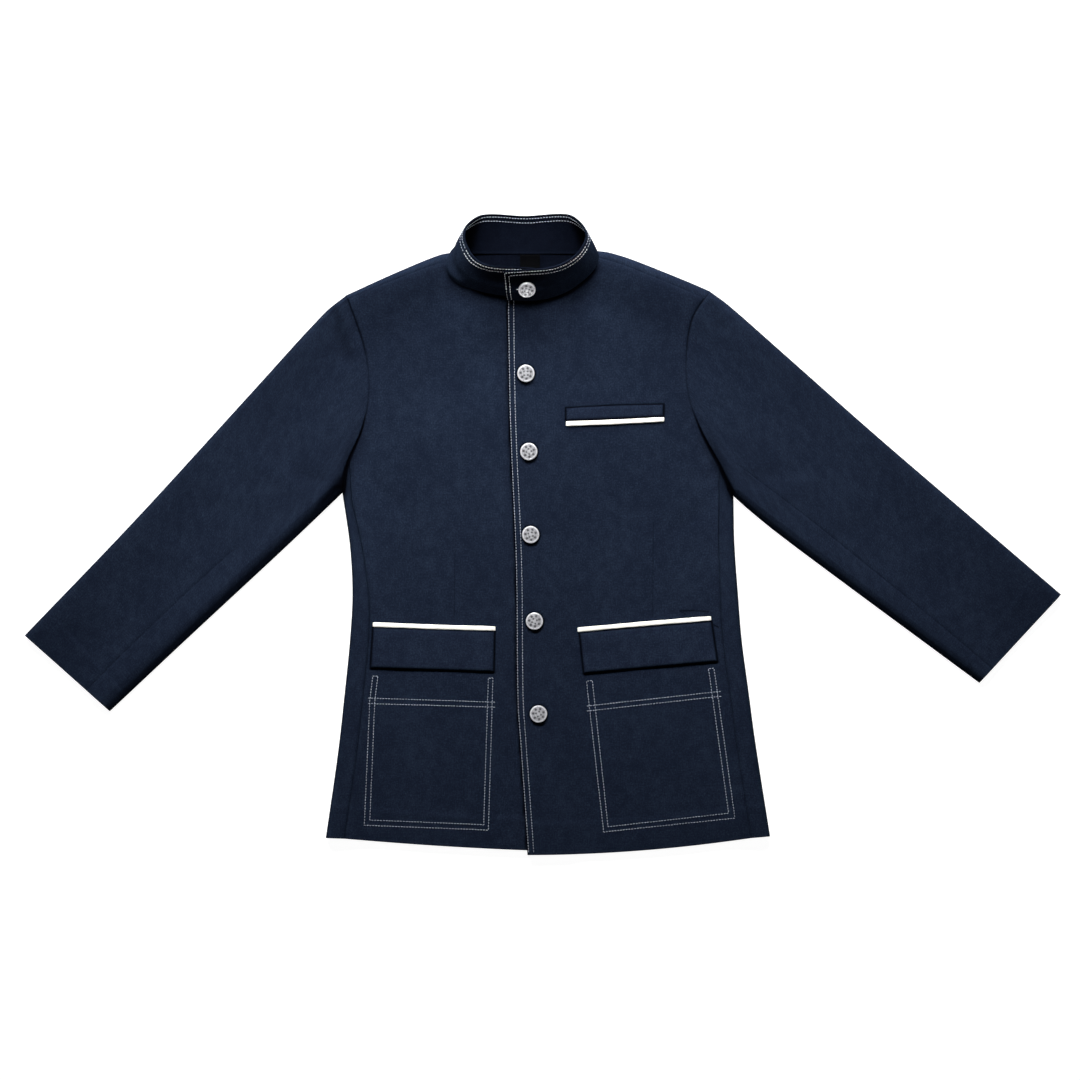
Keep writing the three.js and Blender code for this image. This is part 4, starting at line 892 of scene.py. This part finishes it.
def sleeve_grid(half, columns, t):
    """Sections along the sleeve, and the shade painted on each point: in the seams, on the lower edge
    turned from the light and in the creases' troughs. It leaves the armhole at the seam's own points and
    heights, and what they miss of a straight sleeve's fades away over its first third."""
    face, run, lift, outer = columns.T
    out, low = half["outer"].part(t), half["lower"].part(t)
    across = (out - low)[:, None]
    t = t[:, None]
    width, distance = length(across), t * SLEEVE_LENGTH
    settle = ease(t / 0.12)
    fold = between(half["shoulder_fold"], FOLD_HALF_WIDTH, settle)
    inset = sleeve_insets(half, columns, width, fold, t[:, 0])
    seam = np.where(face[:, None] > 0, half["armhole"].at(run), half["back_armhole"].at(run))
    start = low[:1] + across[0] * (inset[:1] / width[0]).T
    keep = np.maximum(0, 1 - t / 0.35)[..., None] ** 2
    soft_edge = between(*half["soft_edge"], ease(t / 0.9)) * ease(t / 0.04)
    upper_side = np.where(lift >= 0, ease(2 * lift - 1) * (1 - outer), face)
    past = (inset - FOLD_HALF_WIDTH) / 30
    spread = soft_edge * upper_side * ease(inset / FOLD_HALF_WIDTH) * (1 - ease(past))
    plan = low[:, None] + across * ((inset + spread) / width)[..., None] + (seam - start) * keep

    outer_top = between(SHOULDER_HEIGHT, SLEEVE_OUTER_HEIGHT, ease(t / 0.4))
    lower_height, lower_width = half["lower_fold"]
    lower_top = between(SIDE_FOLD_HEIGHT, lower_height, settle)
    middle = between(SLEEVE_HEAD_HEIGHT, SLEEVE_CUFF_HEIGHT, ease(t / 0.6))
    rise = ((outer_top - middle) * bell(width - inset - fold, SLEEVE_OUTER_WIDTH)
            + (lower_top - middle) * bell(inset - FOLD_HALF_WIDTH, lower_width))
    at_seam = bell(distance, 20)
    seam_run = np.where(lift < 0, run, np.where(outer > 0, tip_run(half), FOLD_HALF_WIDTH))
    top = between(middle + rise, armhole_top(half, seam_run), at_seam)
    fold_top = between(np.where(outer > 0, outer_top, lower_top), armhole_top(half, seam_run), at_seam)
    slope = np.where(lift < 0.5, 0.24 * lift, 0.12 + 0.88 * (1 - np.sqrt(np.clip(2 - 2 * lift, 0, 1))))
    low_lift = between(slope, np.where(lift < 0.5, slope, 0.12 + 0.88 * (2 * lift - 1)), 0.3)
    sunk = between(1, 0.6, ease(t / 0.9)) * (1 - outer) * ease(t / 0.03)
    z = np.where(lift >= 0, fold_top * between(lift, low_lift, sunk), np.where(face > 0, top, 0))
    soft = creases(plan, SLEEVE_CREASES[half["name"]])
    upper = np.where(lift >= 0, np.maximum(0, 2 * lift - 1), face)
    deep = armhole_depth(half, seam_run)
    pucker = 0.25 * np.sin(run * 0.62 + 1.5 * np.sin(run * 0.11)) * bell(distance - 5, 5)
    z = z + upper * (soft + (seam_roll(distance) * 1.2 + pucker) * deep
                     + turned_hem(SLEEVE_LENGTH - distance))
    z = z + (1 - upper) * np.where(lift < 0, np.maximum(0, -0.7 * soft), 0)
    # Painted shade on the lower edge, where the cloth turns from the light, joined with that of the
    # armhole and of the creases' troughs.
    near_body, at_cuff, extra = half["dark_edge"]
    reach = between(near_body, at_cuff, t) * (1 + extra * bell(t, 0.09))
    lower_edge_shade = np.minimum(0.97, 1.7 * (1 - ease((inset + spread - 1) / reach))) * (1 - outer)
    dark = np.maximum.reduce([armhole_shade(half, plan), lower_edge_shade, np.maximum(0, -0.07 * soft)])
    return raised(plan, z), upper * dark


def sleeve(half):
    """Top and under sleeve: the same grid, split at the front seam."""
    columns = sleeve_columns(half)
    t = np.concatenate([[0, 0.001, 0.0022, 0.004, 0.0065, 0.0095, 0.0135],
                        np.linspace(0.0185, 1 - 0.003, 180), [1 - 0.0012, 1]])
    grid, crevice = sleeve_grid(half, columns, t)
    split = int(np.flatnonzero((columns[:, 1] == SLEEVE_SEAM_RUN) & (columns[:, 0] > 0))[0])
    around, distance = flat_run(grid, 1), SLEEVE_LENGTH * t[:, None]
    gap = np.abs(around - around[:, split:split + 1])
    shown = ease((t - half["seam_shown"]) / 0.08)[:, None] * (columns[:, 0] > 0)
    grid[..., 2] += seam_roll(gap, 0.35) * shown
    # Painted shade in dashes along the front seam where it shows.
    dashes = 0.26 + 0.16 * np.sin(distance / 3.1) * np.sin(distance / 17)
    crevice = np.maximum(crevice, dashes * shown * bell(gap, 0.8))
    cloth = np.stack(np.broadcast_arrays(around, -distance), -1)
    name = f"sleeve_{half['name']}_"
    for part, cut, width, area, below in (
            ("top", slice(0, split + 1), 205, 86000, name + "under"),
            ("under", slice(split, None), 165, 74000, "floor")):
        panel(name + part, grid[:, cut], half["out"], cloth[:, cut], body_denim, (width, 580, area),
              [below], crevice=crevice[:, cut])


for half in HALVES:
    sleeve(half)


# ---- Collar ----
# A stand collar: two layers of denim with interlining, a band that rises from the neckline. Its
# upper end laps over the lower one, and at the back it falls open flat.

COLLAR_CLOTH, COLLAR_HEIGHT = 2.4, 46
COLLAR_TURNS = (216, 428)     # where along the band it turns from the back to the sides


def collar_front(run):
    """1 where the band stands round the front of the neck, easing to 0 at the back."""
    return 1 - ease((0.42 - np.abs(run / COLLAR.length - 0.47)) / 0.16)


def collar_fullness(run, height):
    """How far the band stands out from a straight line between seam and rim: little at the back;
    in front its lower half rolls out over the neckline and its upper half is drawn in."""
    wave = 1 + 0.25 * np.sin(run * 0.055) + 0.15 * np.sin(run * 0.13 + 1)
    rolled = 3.2 * bell(height - 0.34, 0.17) * wave - 1.3 * bell(height - 0.74, 0.16)
    rolled = rolled + 1.4 * bell(height - 0.56, 0.07) * bell(run - 70, 28)
    corner = bell(run - COLLAR.length + 165, 34)
    fold = (2.6 * bell(height - 0.12, 0.08) - 1.6 * bell(height - 0.32, 0.1)) * corner
    return between(0.7 * np.sin(np.pi * np.clip(height, 0, 1)), rolled, collar_front(run)) + fold


def collar_grid(runs, heights):
    """The band's outer face from seam to rim, turned in at the seam, and its painted shade: at the seam,
    in the two corners where it turns from the back to the sides, over the front where it stands, and
    darker along the rim."""
    ends, up = COLLAR.at(runs)[:, None], heights[None]
    runs = runs[:, None]
    grid = between(ends[..., :3], ends[..., 3:], up[..., None])
    tall = length(ends[..., 3:] - ends[..., :3])
    full = collar_fullness(runs, up) - 0.6 * bell(up * tall, 1.5)
    in_front = collar_front(runs)
    # Painted shade: along the seam, in the two corners, over the front where the band stands, and darker
    # along the rim.
    crevice = between(0.15, 0.95, in_front) * bell(up * tall, 1.6)
    corners = 0.85 * sum(bell(runs - turn, 20) for turn in COLLAR_TURNS)
    centre = bell(np.maximum(0, np.minimum(runs, COLLAR.length - runs) - 95), 40)
    drawn_in = between(0.5, 0.85, ease((up - 0.35) / 0.25))
    front = between(0.45, drawn_in, centre) * in_front
    dark_rim = 0.5 * bell((1 - up) * tall, 1.5)
    normal = np.cross(np.gradient(grid, axis=1), np.gradient(grid, axis=0))
    grid = grid - (full / length(normal))[..., None] * normal
    return grid, np.maximum.reduce(np.broadcast_arrays(crevice, corners, front, dark_rim))


runs = COLLAR.length * spaced(COLLAR.length, 2.6, (0, 0.6, 1.4, 2.4))
grid, crevice = collar_grid(runs, spaced(COLLAR_HEIGHT, 1.6, (0, 0.6, 1.4, 2.4)))
cloth = np.stack(np.broadcast_arrays(runs[:, None], flat_run(grid, 1)), -1)
# The collar's denim is a slightly darker copy of the body's: painted shade.
panel("collar", grid, -1, cloth, denim("collar_shaded_denim", (0.0056, 0.0088, 0.018), (0.016, 0.0255, 0.045)),
      (500, 52, 21200), ["back", "front_left", "front_right"], COLLAR_CLOTH, rounding=0.9,
      inside=painted_shade_inside_denim, crevice=crevice)


# ---- Neck label ----
# A small black woven label, sewn inside the back just below the collar's seam. It is left plain.

LABEL_CLOTH = 1
LABEL_LEFT, LABEL_RIGHT, LABEL_LOWER, LABEL_UPPER = -28, -4, 312, 335.4


def make_label_satin():
    """Black satin ribbon: fine ribs across it, a slight shine."""
    material, tree, cloth = new_material("label_satin")
    ribs = stretched_noise(tree, cloth, (300, 3500, 1), 1)
    coat(tree, mixed(tree, ribs, (0.0003, 0.0004, 0.0006), (0.0012, 0.0014, 0.002)), ribs, 0.0002, 0.4,
         {"Roughness": 0.6, "Specular IOR Level": 0.02})
    return material


y, x = np.meshgrid(np.linspace(LABEL_LOWER, LABEL_UPPER, 22),
                   np.linspace(LABEL_LEFT, LABEL_RIGHT, 22), indexing="ij")
lift = (NECK_RISE * bell(y - 337, 6) + 0.7 * bell(y - LABEL_LOWER, 5)
        + 0.25 * bell(x - LABEL_LEFT, 4) + 0.15 * bell(x - LABEL_RIGHT, 4))
grid = np.stack([x, y, CLOTH + SEAM_GAP + LABEL_CLOTH + lift], -1)
panel("neck_label", grid, 1, grid[..., :2], make_label_satin(), (24.5, 24.5, 600), ["back"],
      LABEL_CLOTH, "label", 0.3)


# ---- Chest pocket ----
# A welt pocket on the wearer's left breast: a folded strip of denim, edged below with cream piping.

REST_GAP = 0.4
WELT_CLOTH, FLAP_CLOTH, PIPING_HALF_WIDTH, PIPING_HEIGHT = 1.8, 2.2, 2.8, 1.9

# A lighter copy of the body's denim for the flaps and welt: painted light.
painted_light_pocket_denim = denim("painted_light_pocket_denim", (0.0072, 0.011, 0.0226), (0.0208, 0.0322, 0.0573))


def strip(name, half, plan, thickness, cut, rounding, fullness=0, swell=0):
    """A folded strip laid on a front: its thickness above the cloth, rounded down at all four edges,
    where shade is painted, and full in between."""
    edge = np.minimum.reduce([flat_run(plan, 0), flat_run(plan[::-1], 0)[::-1], flat_run(plan, 1),
                              flat_run(plan[:, ::-1], 1)[:, ::-1]])
    z = front_top(half, plan) + REST_GAP + thickness - 1.3 * bell(edge, 1.4)
    panel(name, raised(plan, z + fullness * ease(edge / 12) + swell), 1, plan, painted_light_pocket_denim, cut,
          ["front_" + half["name"]], thickness, rounding=rounding, crevice=0.95 * bell(edge, 1.5))


def make_piping_cotton():
    """Cream cotton tape folded over a cord: fine weave, a little uneven."""
    material, tree, cloth = new_material("piping_cotton")
    yarns = stretched_noise(tree, cloth, (2600, 2600, 1), 1)
    tone = stretched_noise(tree, cloth, (90, 300, 1), 2)
    share = weighed(tree, [(yarns, 0.7), (tone, 0.8)], 0.5)
    coat(tree, mixed(tree, share, (0.88, 0.85, 0.76), (0.98, 0.96, 0.91)), yarns, 0.0002, 0.5,
         {"Roughness": 0.8})
    return material


piping_cotton = make_piping_cotton()


def rod_mesh(name, rings, flat, uv_name="cloth"):
    """A closed rod through rings of points, in order round the rod; its ends run to middle points."""
    ends = rings[[0, -1]].mean(1, keepdims=True)
    rings = np.concatenate([np.repeat(ends[:1], rings.shape[1], 1), rings,
                            np.repeat(ends[1:], rings.shape[1], 1)])
    flat = np.concatenate([flat[:1], flat, flat[-1:]])
    k = np.arange(rings.shape[0] * rings.shape[1]).reshape(rings.shape[:2])
    turned = np.roll(k, -1, 1)
    faces = np.stack([k[:-1], turned[:-1], turned[1:], k[1:]], -1).reshape(-1, 4)
    mesh = quad_mesh(name, rings.reshape(-1, 3), faces, flat.reshape(-1, 2), uv_name)
    merged = bmesh.new()
    merged.from_mesh(mesh)
    bmesh.ops.remove_doubles(merged, verts=merged.verts, dist=1e-7)
    merged.to_mesh(mesh)
    merged.free()
    return mesh


def rounded(wave):
    """A sine or cosine flattened towards its ends, for a squarish round section."""
    return np.sign(wave) * np.abs(wave) ** 0.6


def piping(name, half, points):
    """Cream piping along a line on a front: a low rounded section, slightly uneven in width."""
    line = Line(points)
    f = np.linspace(0, 1, 90)[:, None]
    path = line.part(f[:, 0])
    angle = np.linspace(0, 2 * np.pi, 15)[:-1]
    wide = PIPING_HALF_WIDTH * (1 + 0.03 * np.sin(f * 17) + 0.02 * np.sin(f * 43 + 1))
    taper = np.sqrt(np.clip(np.minimum(f, 1 - f) / 0.004, 0.7, 1))
    y = path[:, 1:] + wide * taper * rounded(np.cos(angle))
    z = front_top(half, path)[:, None] + REST_GAP + PIPING_HEIGHT * taper / 2 * (
        1 + rounded(np.sin(angle)))
    rings = np.stack(np.broadcast_arrays(path[:, :1], y, z), -1)
    cloth = np.stack(np.broadcast_arrays(f * line.length, angle * 3), -1)
    piece = finished(name, rod_mesh(name, rings, cloth), piping_cotton)


f = spaced(118, 2)
plan = between(Line(WELT_LOWER).part(f), Line(WELT_UPPER).part(f),
               spaced(16, 1.6, (0, 0.5, 1.1, 1.9))[:, None, None])
strip("chest_welt", LEFT, plan, WELT_CLOTH, (118, 18, 2120), 0.6)
piping("chest_piping", LEFT, [(27.2, 132.8), (85, 134.9), (144.8, 138)])


# ---- Hip pockets ----
# A patch of top-stitching outlines each pocket bag. A double flap covers its mouth, sewn down along
# its top edge below a strip of cream piping.

f, v = spaced(155, 2.2)[None, :, None], spaced(49, 2)[:, None, None]
for half in (LEFT, RIGHT):
    top_left, top_right, low_left, low_right = np.array(FLAP_CORNERS[half["name"]])
    plan = between(between(low_left, low_right, f), between(top_left, top_right, f), v)
    swell = (0.5 * bell(v, 0.25) * (1 + 0.5 * np.sin(f * 9 + half["out"])))[..., 0]
    strip("flap_" + half["name"], half, plan, FLAP_CLOTH, (160, 51, 7900), 0.7, 0.4, swell)
piping("piping_left", LEFT, [(41, -114.4), (121, -107.2), (201.2, -100.6)])
piping("piping_right", RIGHT, [(-204.4, -108), (-131, -110.8), (-57.4, -112.9)])


# ---- Top-stitching ----
# Double rows of pale thread, machine sewn at about eight stitches an inch: round the collar's rim
# and upper end, down the front edge, and round each hip pocket. Each stitch is a raised loop.

STITCH_PITCH, STITCH_LENGTH = 3.4, 2.5
THREAD_HALF_WIDTH, THREAD_HALF_HEIGHT = 0.38, 0.34
THREAD_LIFT = 0.12        # of its middle above the cloth
chance = np.random.default_rng(7)


def along(path, normals):
    """Middles, ways, sides and normals of evenly spaced stitches on a path, a little uneven."""
    runs = run_along(path)
    count = int(runs[-1] // STITCH_PITCH)
    start = (np.arange(count) + 0.5) * runs[-1] / count + chance.normal(0, 0.09, count)

    def pick(values, run):
        """The path's values that far along it, straight from point to point."""
        return np.stack([np.interp(run, runs, column) for column in values.T], -1)

    way = pick(path, start + 1) - pick(path, start - 1)
    way /= length(way)[:, None]
    side = np.cross(pick(normals, start), way)
    side /= length(side)[:, None]
    middle = pick(path, start) + side * chance.normal(0, 0.07, count)[:, None]
    return np.stack([middle, way, side, np.cross(way, side)], 1)


def stitches(name, rows, material):
    """All stitches of some rows as one mesh: each a short rod of six sides, thinned to its ends,
    which go down into the cloth."""
    middle, way, side, up = np.concatenate([along(*row) for row in rows]).transpose(1, 0, 2)[
        :, :, None, None]
    place = (np.array([-1, -0.72, 0, 0.72, 1]) * STITCH_LENGTH / 2)[:, None]
    thick = np.array([0.45, 0.9, 1, 0.9, 0.45])[:, None]
    sink = np.array([-0.3, 0.02, 0.14, 0.02, -0.3])[:, None]
    angle = np.linspace(0, 2 * np.pi, 7)[:-1]
    lean = chance.normal(0, 0.03, len(middle))[:, None, None]
    wide = THREAD_HALF_WIDTH * thick * np.cos(angle) + lean * place
    high = THREAD_HALF_HEIGHT * thick * np.sin(angle) + sink
    points = middle + way * place[..., None] + side * wide[..., None] + up * high[..., None]
    k = np.arange(30).reshape(5, 6)
    turned = np.roll(k, -1, 1)
    sides = np.stack([k[:-1], turned[:-1], turned[1:], k[1:]], -1).reshape(-1, 4)
    caps = [[3, 2, 1, 0], [5, 4, 3, 0], [24, 25, 26, 27], [24, 27, 28, 29]]
    number = np.arange(len(middle))[:, None, None]
    faces = np.concatenate([sides, caps]) + 30 * number
    flat = np.stack(np.broadcast_arrays(place + 5 * number, 2 * angle), -1)
    mesh = quad_mesh(name, points.reshape(-1, 3), faces.reshape(-1, 4), flat.reshape(-1, 2))
    finished(name, mesh, material, replaces=False)


def thread(name, dark, pale):
    """Lavender-grey thread: two plies that show as slanting bands, a soft shine."""
    material, tree, cloth = new_material(name)
    twist = vector_maths(tree, "DOT_PRODUCT", cloth, (7000, 2400, 0), "Value")
    ply = maths(tree, "MULTIPLY_ADD", maths(tree, "SINE", twist), 0.5, 0.5)
    tone = stretched_noise(tree, cloth, (120, 200, 1), 1)
    share = weighed(tree, [(ply, 0.5), (tone, 0.9)], 0.5)
    coat(tree, mixed(tree, share, dark, pale), ply, 0.0001, 0.6, {"Roughness": 0.6})
    return material


pale_thread = thread("pale_thread", (0.24, 0.27, 0.34), (0.47, 0.51, 0.6))
# A much brighter copy of the thread for the collar's front rows: painted light.
painted_light_thread = thread("painted_light_thread", (0.6, 0.64, 0.74), (0.95, 0.97, 1.0))


def bent_line(corners, step=1.5):
    """Points along straight runs between corners, at even steps."""
    corners = np.array(corners, float)
    runs = run_along(corners)
    run = np.linspace(0, runs[-1], int(runs[-1] / step) + 1)
    return np.stack([np.interp(run, runs, column) for column in corners.T], -1)


def on_front(half, plan):
    """A path on a front's face, with the face's normals."""
    z = front_top(half, plan)
    up = np.stack([z - front_top(half, plan + (1, 0)), z - front_top(half, plan + (0, 1)),
                   np.ones_like(z)], -1)
    return raised(plan, z + THREAD_LIFT), up / length(up)[:, None]


POCKET_ROWS = {           # outer line, inner line, and two bars across, by their corners
    "right": [
        [(-198.4, -169.8), (-204.4, -169.8), (-208, -198.6), (-214.7, -348.6), (-65.9, -354.4),
         (-60.4, -172.2), (-65.9, -172.2)],
        [(-198.4, -169.8), (-202, -198.6), (-208, -342.4), (-71.6, -347.9), (-65.9, -172.2)],
        [(-210.4, -196.1), (-57.4, -201.1)],
        [(-210.4, -202.7), (-57.4, -207.1)],
    ],
    "left": [
        [(58.8, -175.2), (51.7, -175.8), (72.4, -356.6), (229.7, -340.1), (204.6, -160.2),
         (198.1, -160.8)],
        [(58.8, -175.2), (77.6, -350.4), (222.2, -334.2), (198.1, -160.8)],
        [(51.8, -205.8), (213.2, -188)],
        [(51.8, -211.8), (213.8, -193.8)],
    ],
}
for half in HALVES:
    rows = [on_front(half, bent_line(corners)) for corners in POCKET_ROWS[half["name"]]]
    stitches("pocket_stitches_" + half["name"], rows, pale_thread)

edge = front_edge(LEFT, np.linspace(0.004, 1, 500))
way = np.gradient(edge, axis=0)
inwards = np.stack([way[:, 1], -way[:, 0]], -1) / length(way)[:, None]
rows = [on_front(LEFT, edge + inwards * inset) for inset in (1.7, 7.8)]
stitches("front_edge_stitches", rows, pale_thread)


def on_collar(runs, heights, inside=False):
    """A path on the collar at given places along and up it, in mm below the rim."""
    ends, ahead = COLLAR.at(runs), COLLAR.at(runs + 0.5)
    rise = ends[:, 3:] - ends[:, :3]
    share = (1 - heights / length(rise))[:, None]
    place = between(ends[:, :3], ends[:, 3:], share)
    out = np.cross(between(ahead[:, :3], ahead[:, 3:], share) - place, rise)
    out /= length(out)[:, None]
    full = collar_fullness(runs[:, None], share) + THREAD_LIFT
    if inside:
        return place + out * (full - COLLAR_CLOTH - 2 * THREAD_LIFT), -out
    return place + out * full, out


COLLAR_ROWS = (1.9, 6.9)  # below the rim in front; both run lower round the back
END_ROWS = (1.6, 8.2)     # in from the upper end
END_ROW_FOOT = 44         # below the rim
# Painted light: the collar's rows take the brighter thread where the band stands in front.
PAINTED_LIGHT_END, PAINTED_LIGHT_START = 165, 490    # the thread is bright where the band stands in front
rows, front_rows = [], []
runs = np.linspace(2, COLLAR.length - 3, 420)
for end, below_rim in zip(END_ROWS, COLLAR_ROWS):
    lower = below_rim + 1.6 * (1 - collar_front(runs))
    for part, inside, group in (
            ((runs > end) & (runs < PAINTED_LIGHT_END), False, front_rows),
            ((runs >= PAINTED_LIGHT_END) & (runs < PAINTED_LIGHT_START), False, rows),
            (runs >= PAINTED_LIGHT_START, False, front_rows), (runs > end, True, rows)):
        group.append(on_collar(runs[part], lower[part], inside))
    front_rows.append(on_collar(np.full(60, end), np.linspace(below_rim, END_ROW_FOOT, 60)))
front_rows.append(on_collar(np.linspace(17, 24, 12), np.full(12, 26.0)))    # the buttonhole's end
stitches("collar_stitches", rows, pale_thread)
stitches("collar_front_stitches", front_rows, painted_light_thread)


# ---- Buttons ----
# Domed metal shank buttons: a stamped shell with a rosette inside a beaded ring and a plain rim,
# silver plated, darker in its hollows. One stands on the collar, five close the front.

BUTTON_RADIUS, BUTTON_HEIGHT, BUTTON_RELIEF = 10.4, 3.6, 0.42
FACE_RINGS = 44           # rings of points on the face; four more make the edge and underside


def ring_of_hollows(r, angle, middle, count, size):
    """Round hollows evenly spaced on a ring: a bell of the distance to the nearest one's middle."""
    return bell(np.hypot(r - middle, 2 * r / count * np.sin(count / 2 * angle)), size)


def button_rings(turn):
    """The button round its axis: a low dome with rings of hollows pressed into it, a thin edge and
    a flat underside; and how far each point stands out of the pressing."""
    r = np.append(np.linspace(0.02, 0.97, FACE_RINGS), [1.0, 0.985, 0.72, 0.3])[:, None]
    face = np.arange(len(r))[:, None] < FACE_RINGS
    angle = np.linspace(0, 2 * np.pi, 97)[:-1][None]
    turned = angle + turn
    hollows = (1.1 * ring_of_hollows(r, turned, 0.6, 7, 0.13)
               + ring_of_hollows(r, turned + 0.5, 0.3, 4, 0.1)
               + ring_of_hollows(r, turned + 0.3, 0.88, 5, 0.04)
               + 0.55 * bell(r - 0.77, 0.04) + 0.3 * (1 - ease((r - 0.7) / 0.1)))
    relief = face * (1 - np.clip(hollows, 0, 1))
    dome = np.interp(r, [0, 0.5, 0.84, 0.97, 1], [0.93, 0.91, 0.8, 0.72, 0.5])
    dome[FACE_RINGS:, 0] = 0.4, 0.2, 0, 0
    height = dome * BUTTON_HEIGHT + BUTTON_RELIEF * relief
    radius = r * BUTTON_RADIUS
    rings = np.stack([radius * np.cos(angle), radius * np.sin(angle), height], -1)
    return rings, 1000 * np.stack([relief, r + 0 * angle], -1)


def make_button_metal():
    """Plated metal, worn bright on the raised parts and dull grey in the hollows."""
    material, tree, relief = new_material("button_metal", "relief")
    raised_part = node(tree, "ShaderNodeSeparateXYZ", {0: relief}).outputs["X"]
    spots = node(tree, "ShaderNodeTexCoord").outputs["Object"]
    specks = stretched_noise(tree, spots, (1400, 1400, 1400), 3)
    share = weighed(tree, [(specks, 0.5)], raised_part)
    coat(tree, mixed(tree, share, (0.07, 0.07, 0.075), (0.66, 0.66, 0.69)), specks, 0.0001, 0.5,
         {"Roughness": weighed(tree, [(specks, 0.3)], 0.34), "Metallic": 0.5})
    return material


button_metal = make_button_metal()


def button(name, place, up, turn=0.0):
    """A button on a place, its axis along up, its pattern turned by so many radians."""
    rings, flat = button_rings(turn)
    side = np.cross((0, 1, 0), up)
    side /= length(side)
    turned = rings @ np.array([side, np.cross(up, side), up]) + place
    finished(name, rod_mesh(name, turned[:, ::-1], flat, "relief"), button_metal)


(seam, rim), ahead = np.split(collar_at(1.05), 2), collar_at(1.15)[:3]
out = np.cross(ahead - seam, (rim - seam) / length(rim - seam))
out /= length(out)
lean = out * 0.86 + (0, 0, 0.14)
button("button_1", between(seam, rim, 0.42) + out * 1.1, lean / length(lean))
for index, spot in enumerate(np.array(FRONT_BUTTONS)):
    place = np.append(spot, front_top(LEFT, spot) + REST_GAP)
    button(f"button_{index + 2}", place, np.array([0, 0, 1.0]), 0.9 * index + 0.4)


# ---- Surface, light and camera ----
# A plain white table and pale air. One broad soft light beyond the collar, three small ones on the
# collar from below and from both sides, and a camera straight above.

PICTURE_WIDTH, CAMERA_HEIGHT = 1.296, 10      # in metres, as are all the places below
bpy.ops.mesh.primitive_plane_add(size=30, location=(0, 0, -0.0004))
floor = bpy.context.object
floor.name = "floor"
white = bpy.data.materials.new("white_table")
white.use_nodes = True
tree = white.node_tree
tone = stretched_noise(tree, node(tree, "ShaderNodeTexCoord").outputs["Object"], (3, 3, 3), 2)
seen = node(tree, "ShaderNodeLightPath").outputs["Is Camera Ray"]
plug(tree, tree.nodes["Principled BSDF"], {
    "Base Color": mixed(tree, tone, (0.3, 0.3, 0.3), (0.34, 0.34, 0.34)), "Roughness": 0.9,
    "Emission Color": mixed(tree, seen, (0, 0, 0), (1, 1, 1)), "Emission Strength": 0.97,
    "Specular IOR Level": 0})
floor.data.materials.append(white)

world = bpy.data.worlds.new("studio")
bpy.context.scene.world = world
world.use_nodes = True
tree = world.node_tree
mirrored = node(tree, "ShaderNodeLightPath").outputs["Is Glossy Ray"]
strength = node(tree, "ShaderNodeMapRange", {"Value": mirrored, "To Min": 0.035, "To Max": 0.5})
plug(tree, tree.nodes["Background"], {"Color": (0.95, 0.97, 1, 1),
                                      "Strength": strength.outputs["Result"]})


def soft_light(name, place, target, width, depth, power, spread):
    """A broad soft box at a place, turned to a target, with a grid that narrows its spread."""
    lamp = bpy.data.lights.new(name, "AREA")
    lamp.shape = "RECTANGLE"
    lamp.size, lamp.size_y, lamp.energy, lamp.spread = width, depth, power, np.radians(spread)
    box = bpy.data.objects.new(name, lamp)
    bpy.context.scene.collection.objects.link(box)
    box.location = place
    box.rotation_euler = (Vector(target) - Vector(place)).to_track_quat("-Z", "Y").to_euler()


soft_light("key", (-0.2, 1.7, 1.0), (-0.03, 0.31, 0), 1.5, 0.9, 11.3, 30)
soft_light("collar_front", (-0.02, -0.9, 0.3), (-0.02, 0.3, 0.04), 0.3, 0.1, 0.03, 8)
soft_light("collar_right", (0.95, 1.35, 0.35), (0.05, 0.34, 0.03), 0.25, 0.2, 0.2, 10)
soft_light("collar_left", (-0.95, 1.35, 0.35), (-0.1, 0.34, 0.03), 0.25, 0.2, 0.12, 10)

lens = bpy.data.cameras.new("camera")
camera = bpy.data.objects.new("camera", lens)
bpy.context.scene.collection.objects.link(camera)
camera.location = (-0.004, -0.0066, CAMERA_HEIGHT)
lens.sensor_width = 36
lens.lens = lens.sensor_width * CAMERA_HEIGHT / PICTURE_WIDTH
lens.clip_end = 100
bpy.context.scene.camera = camera
bpy.context.scene.view_settings.view_transform = "Standard"
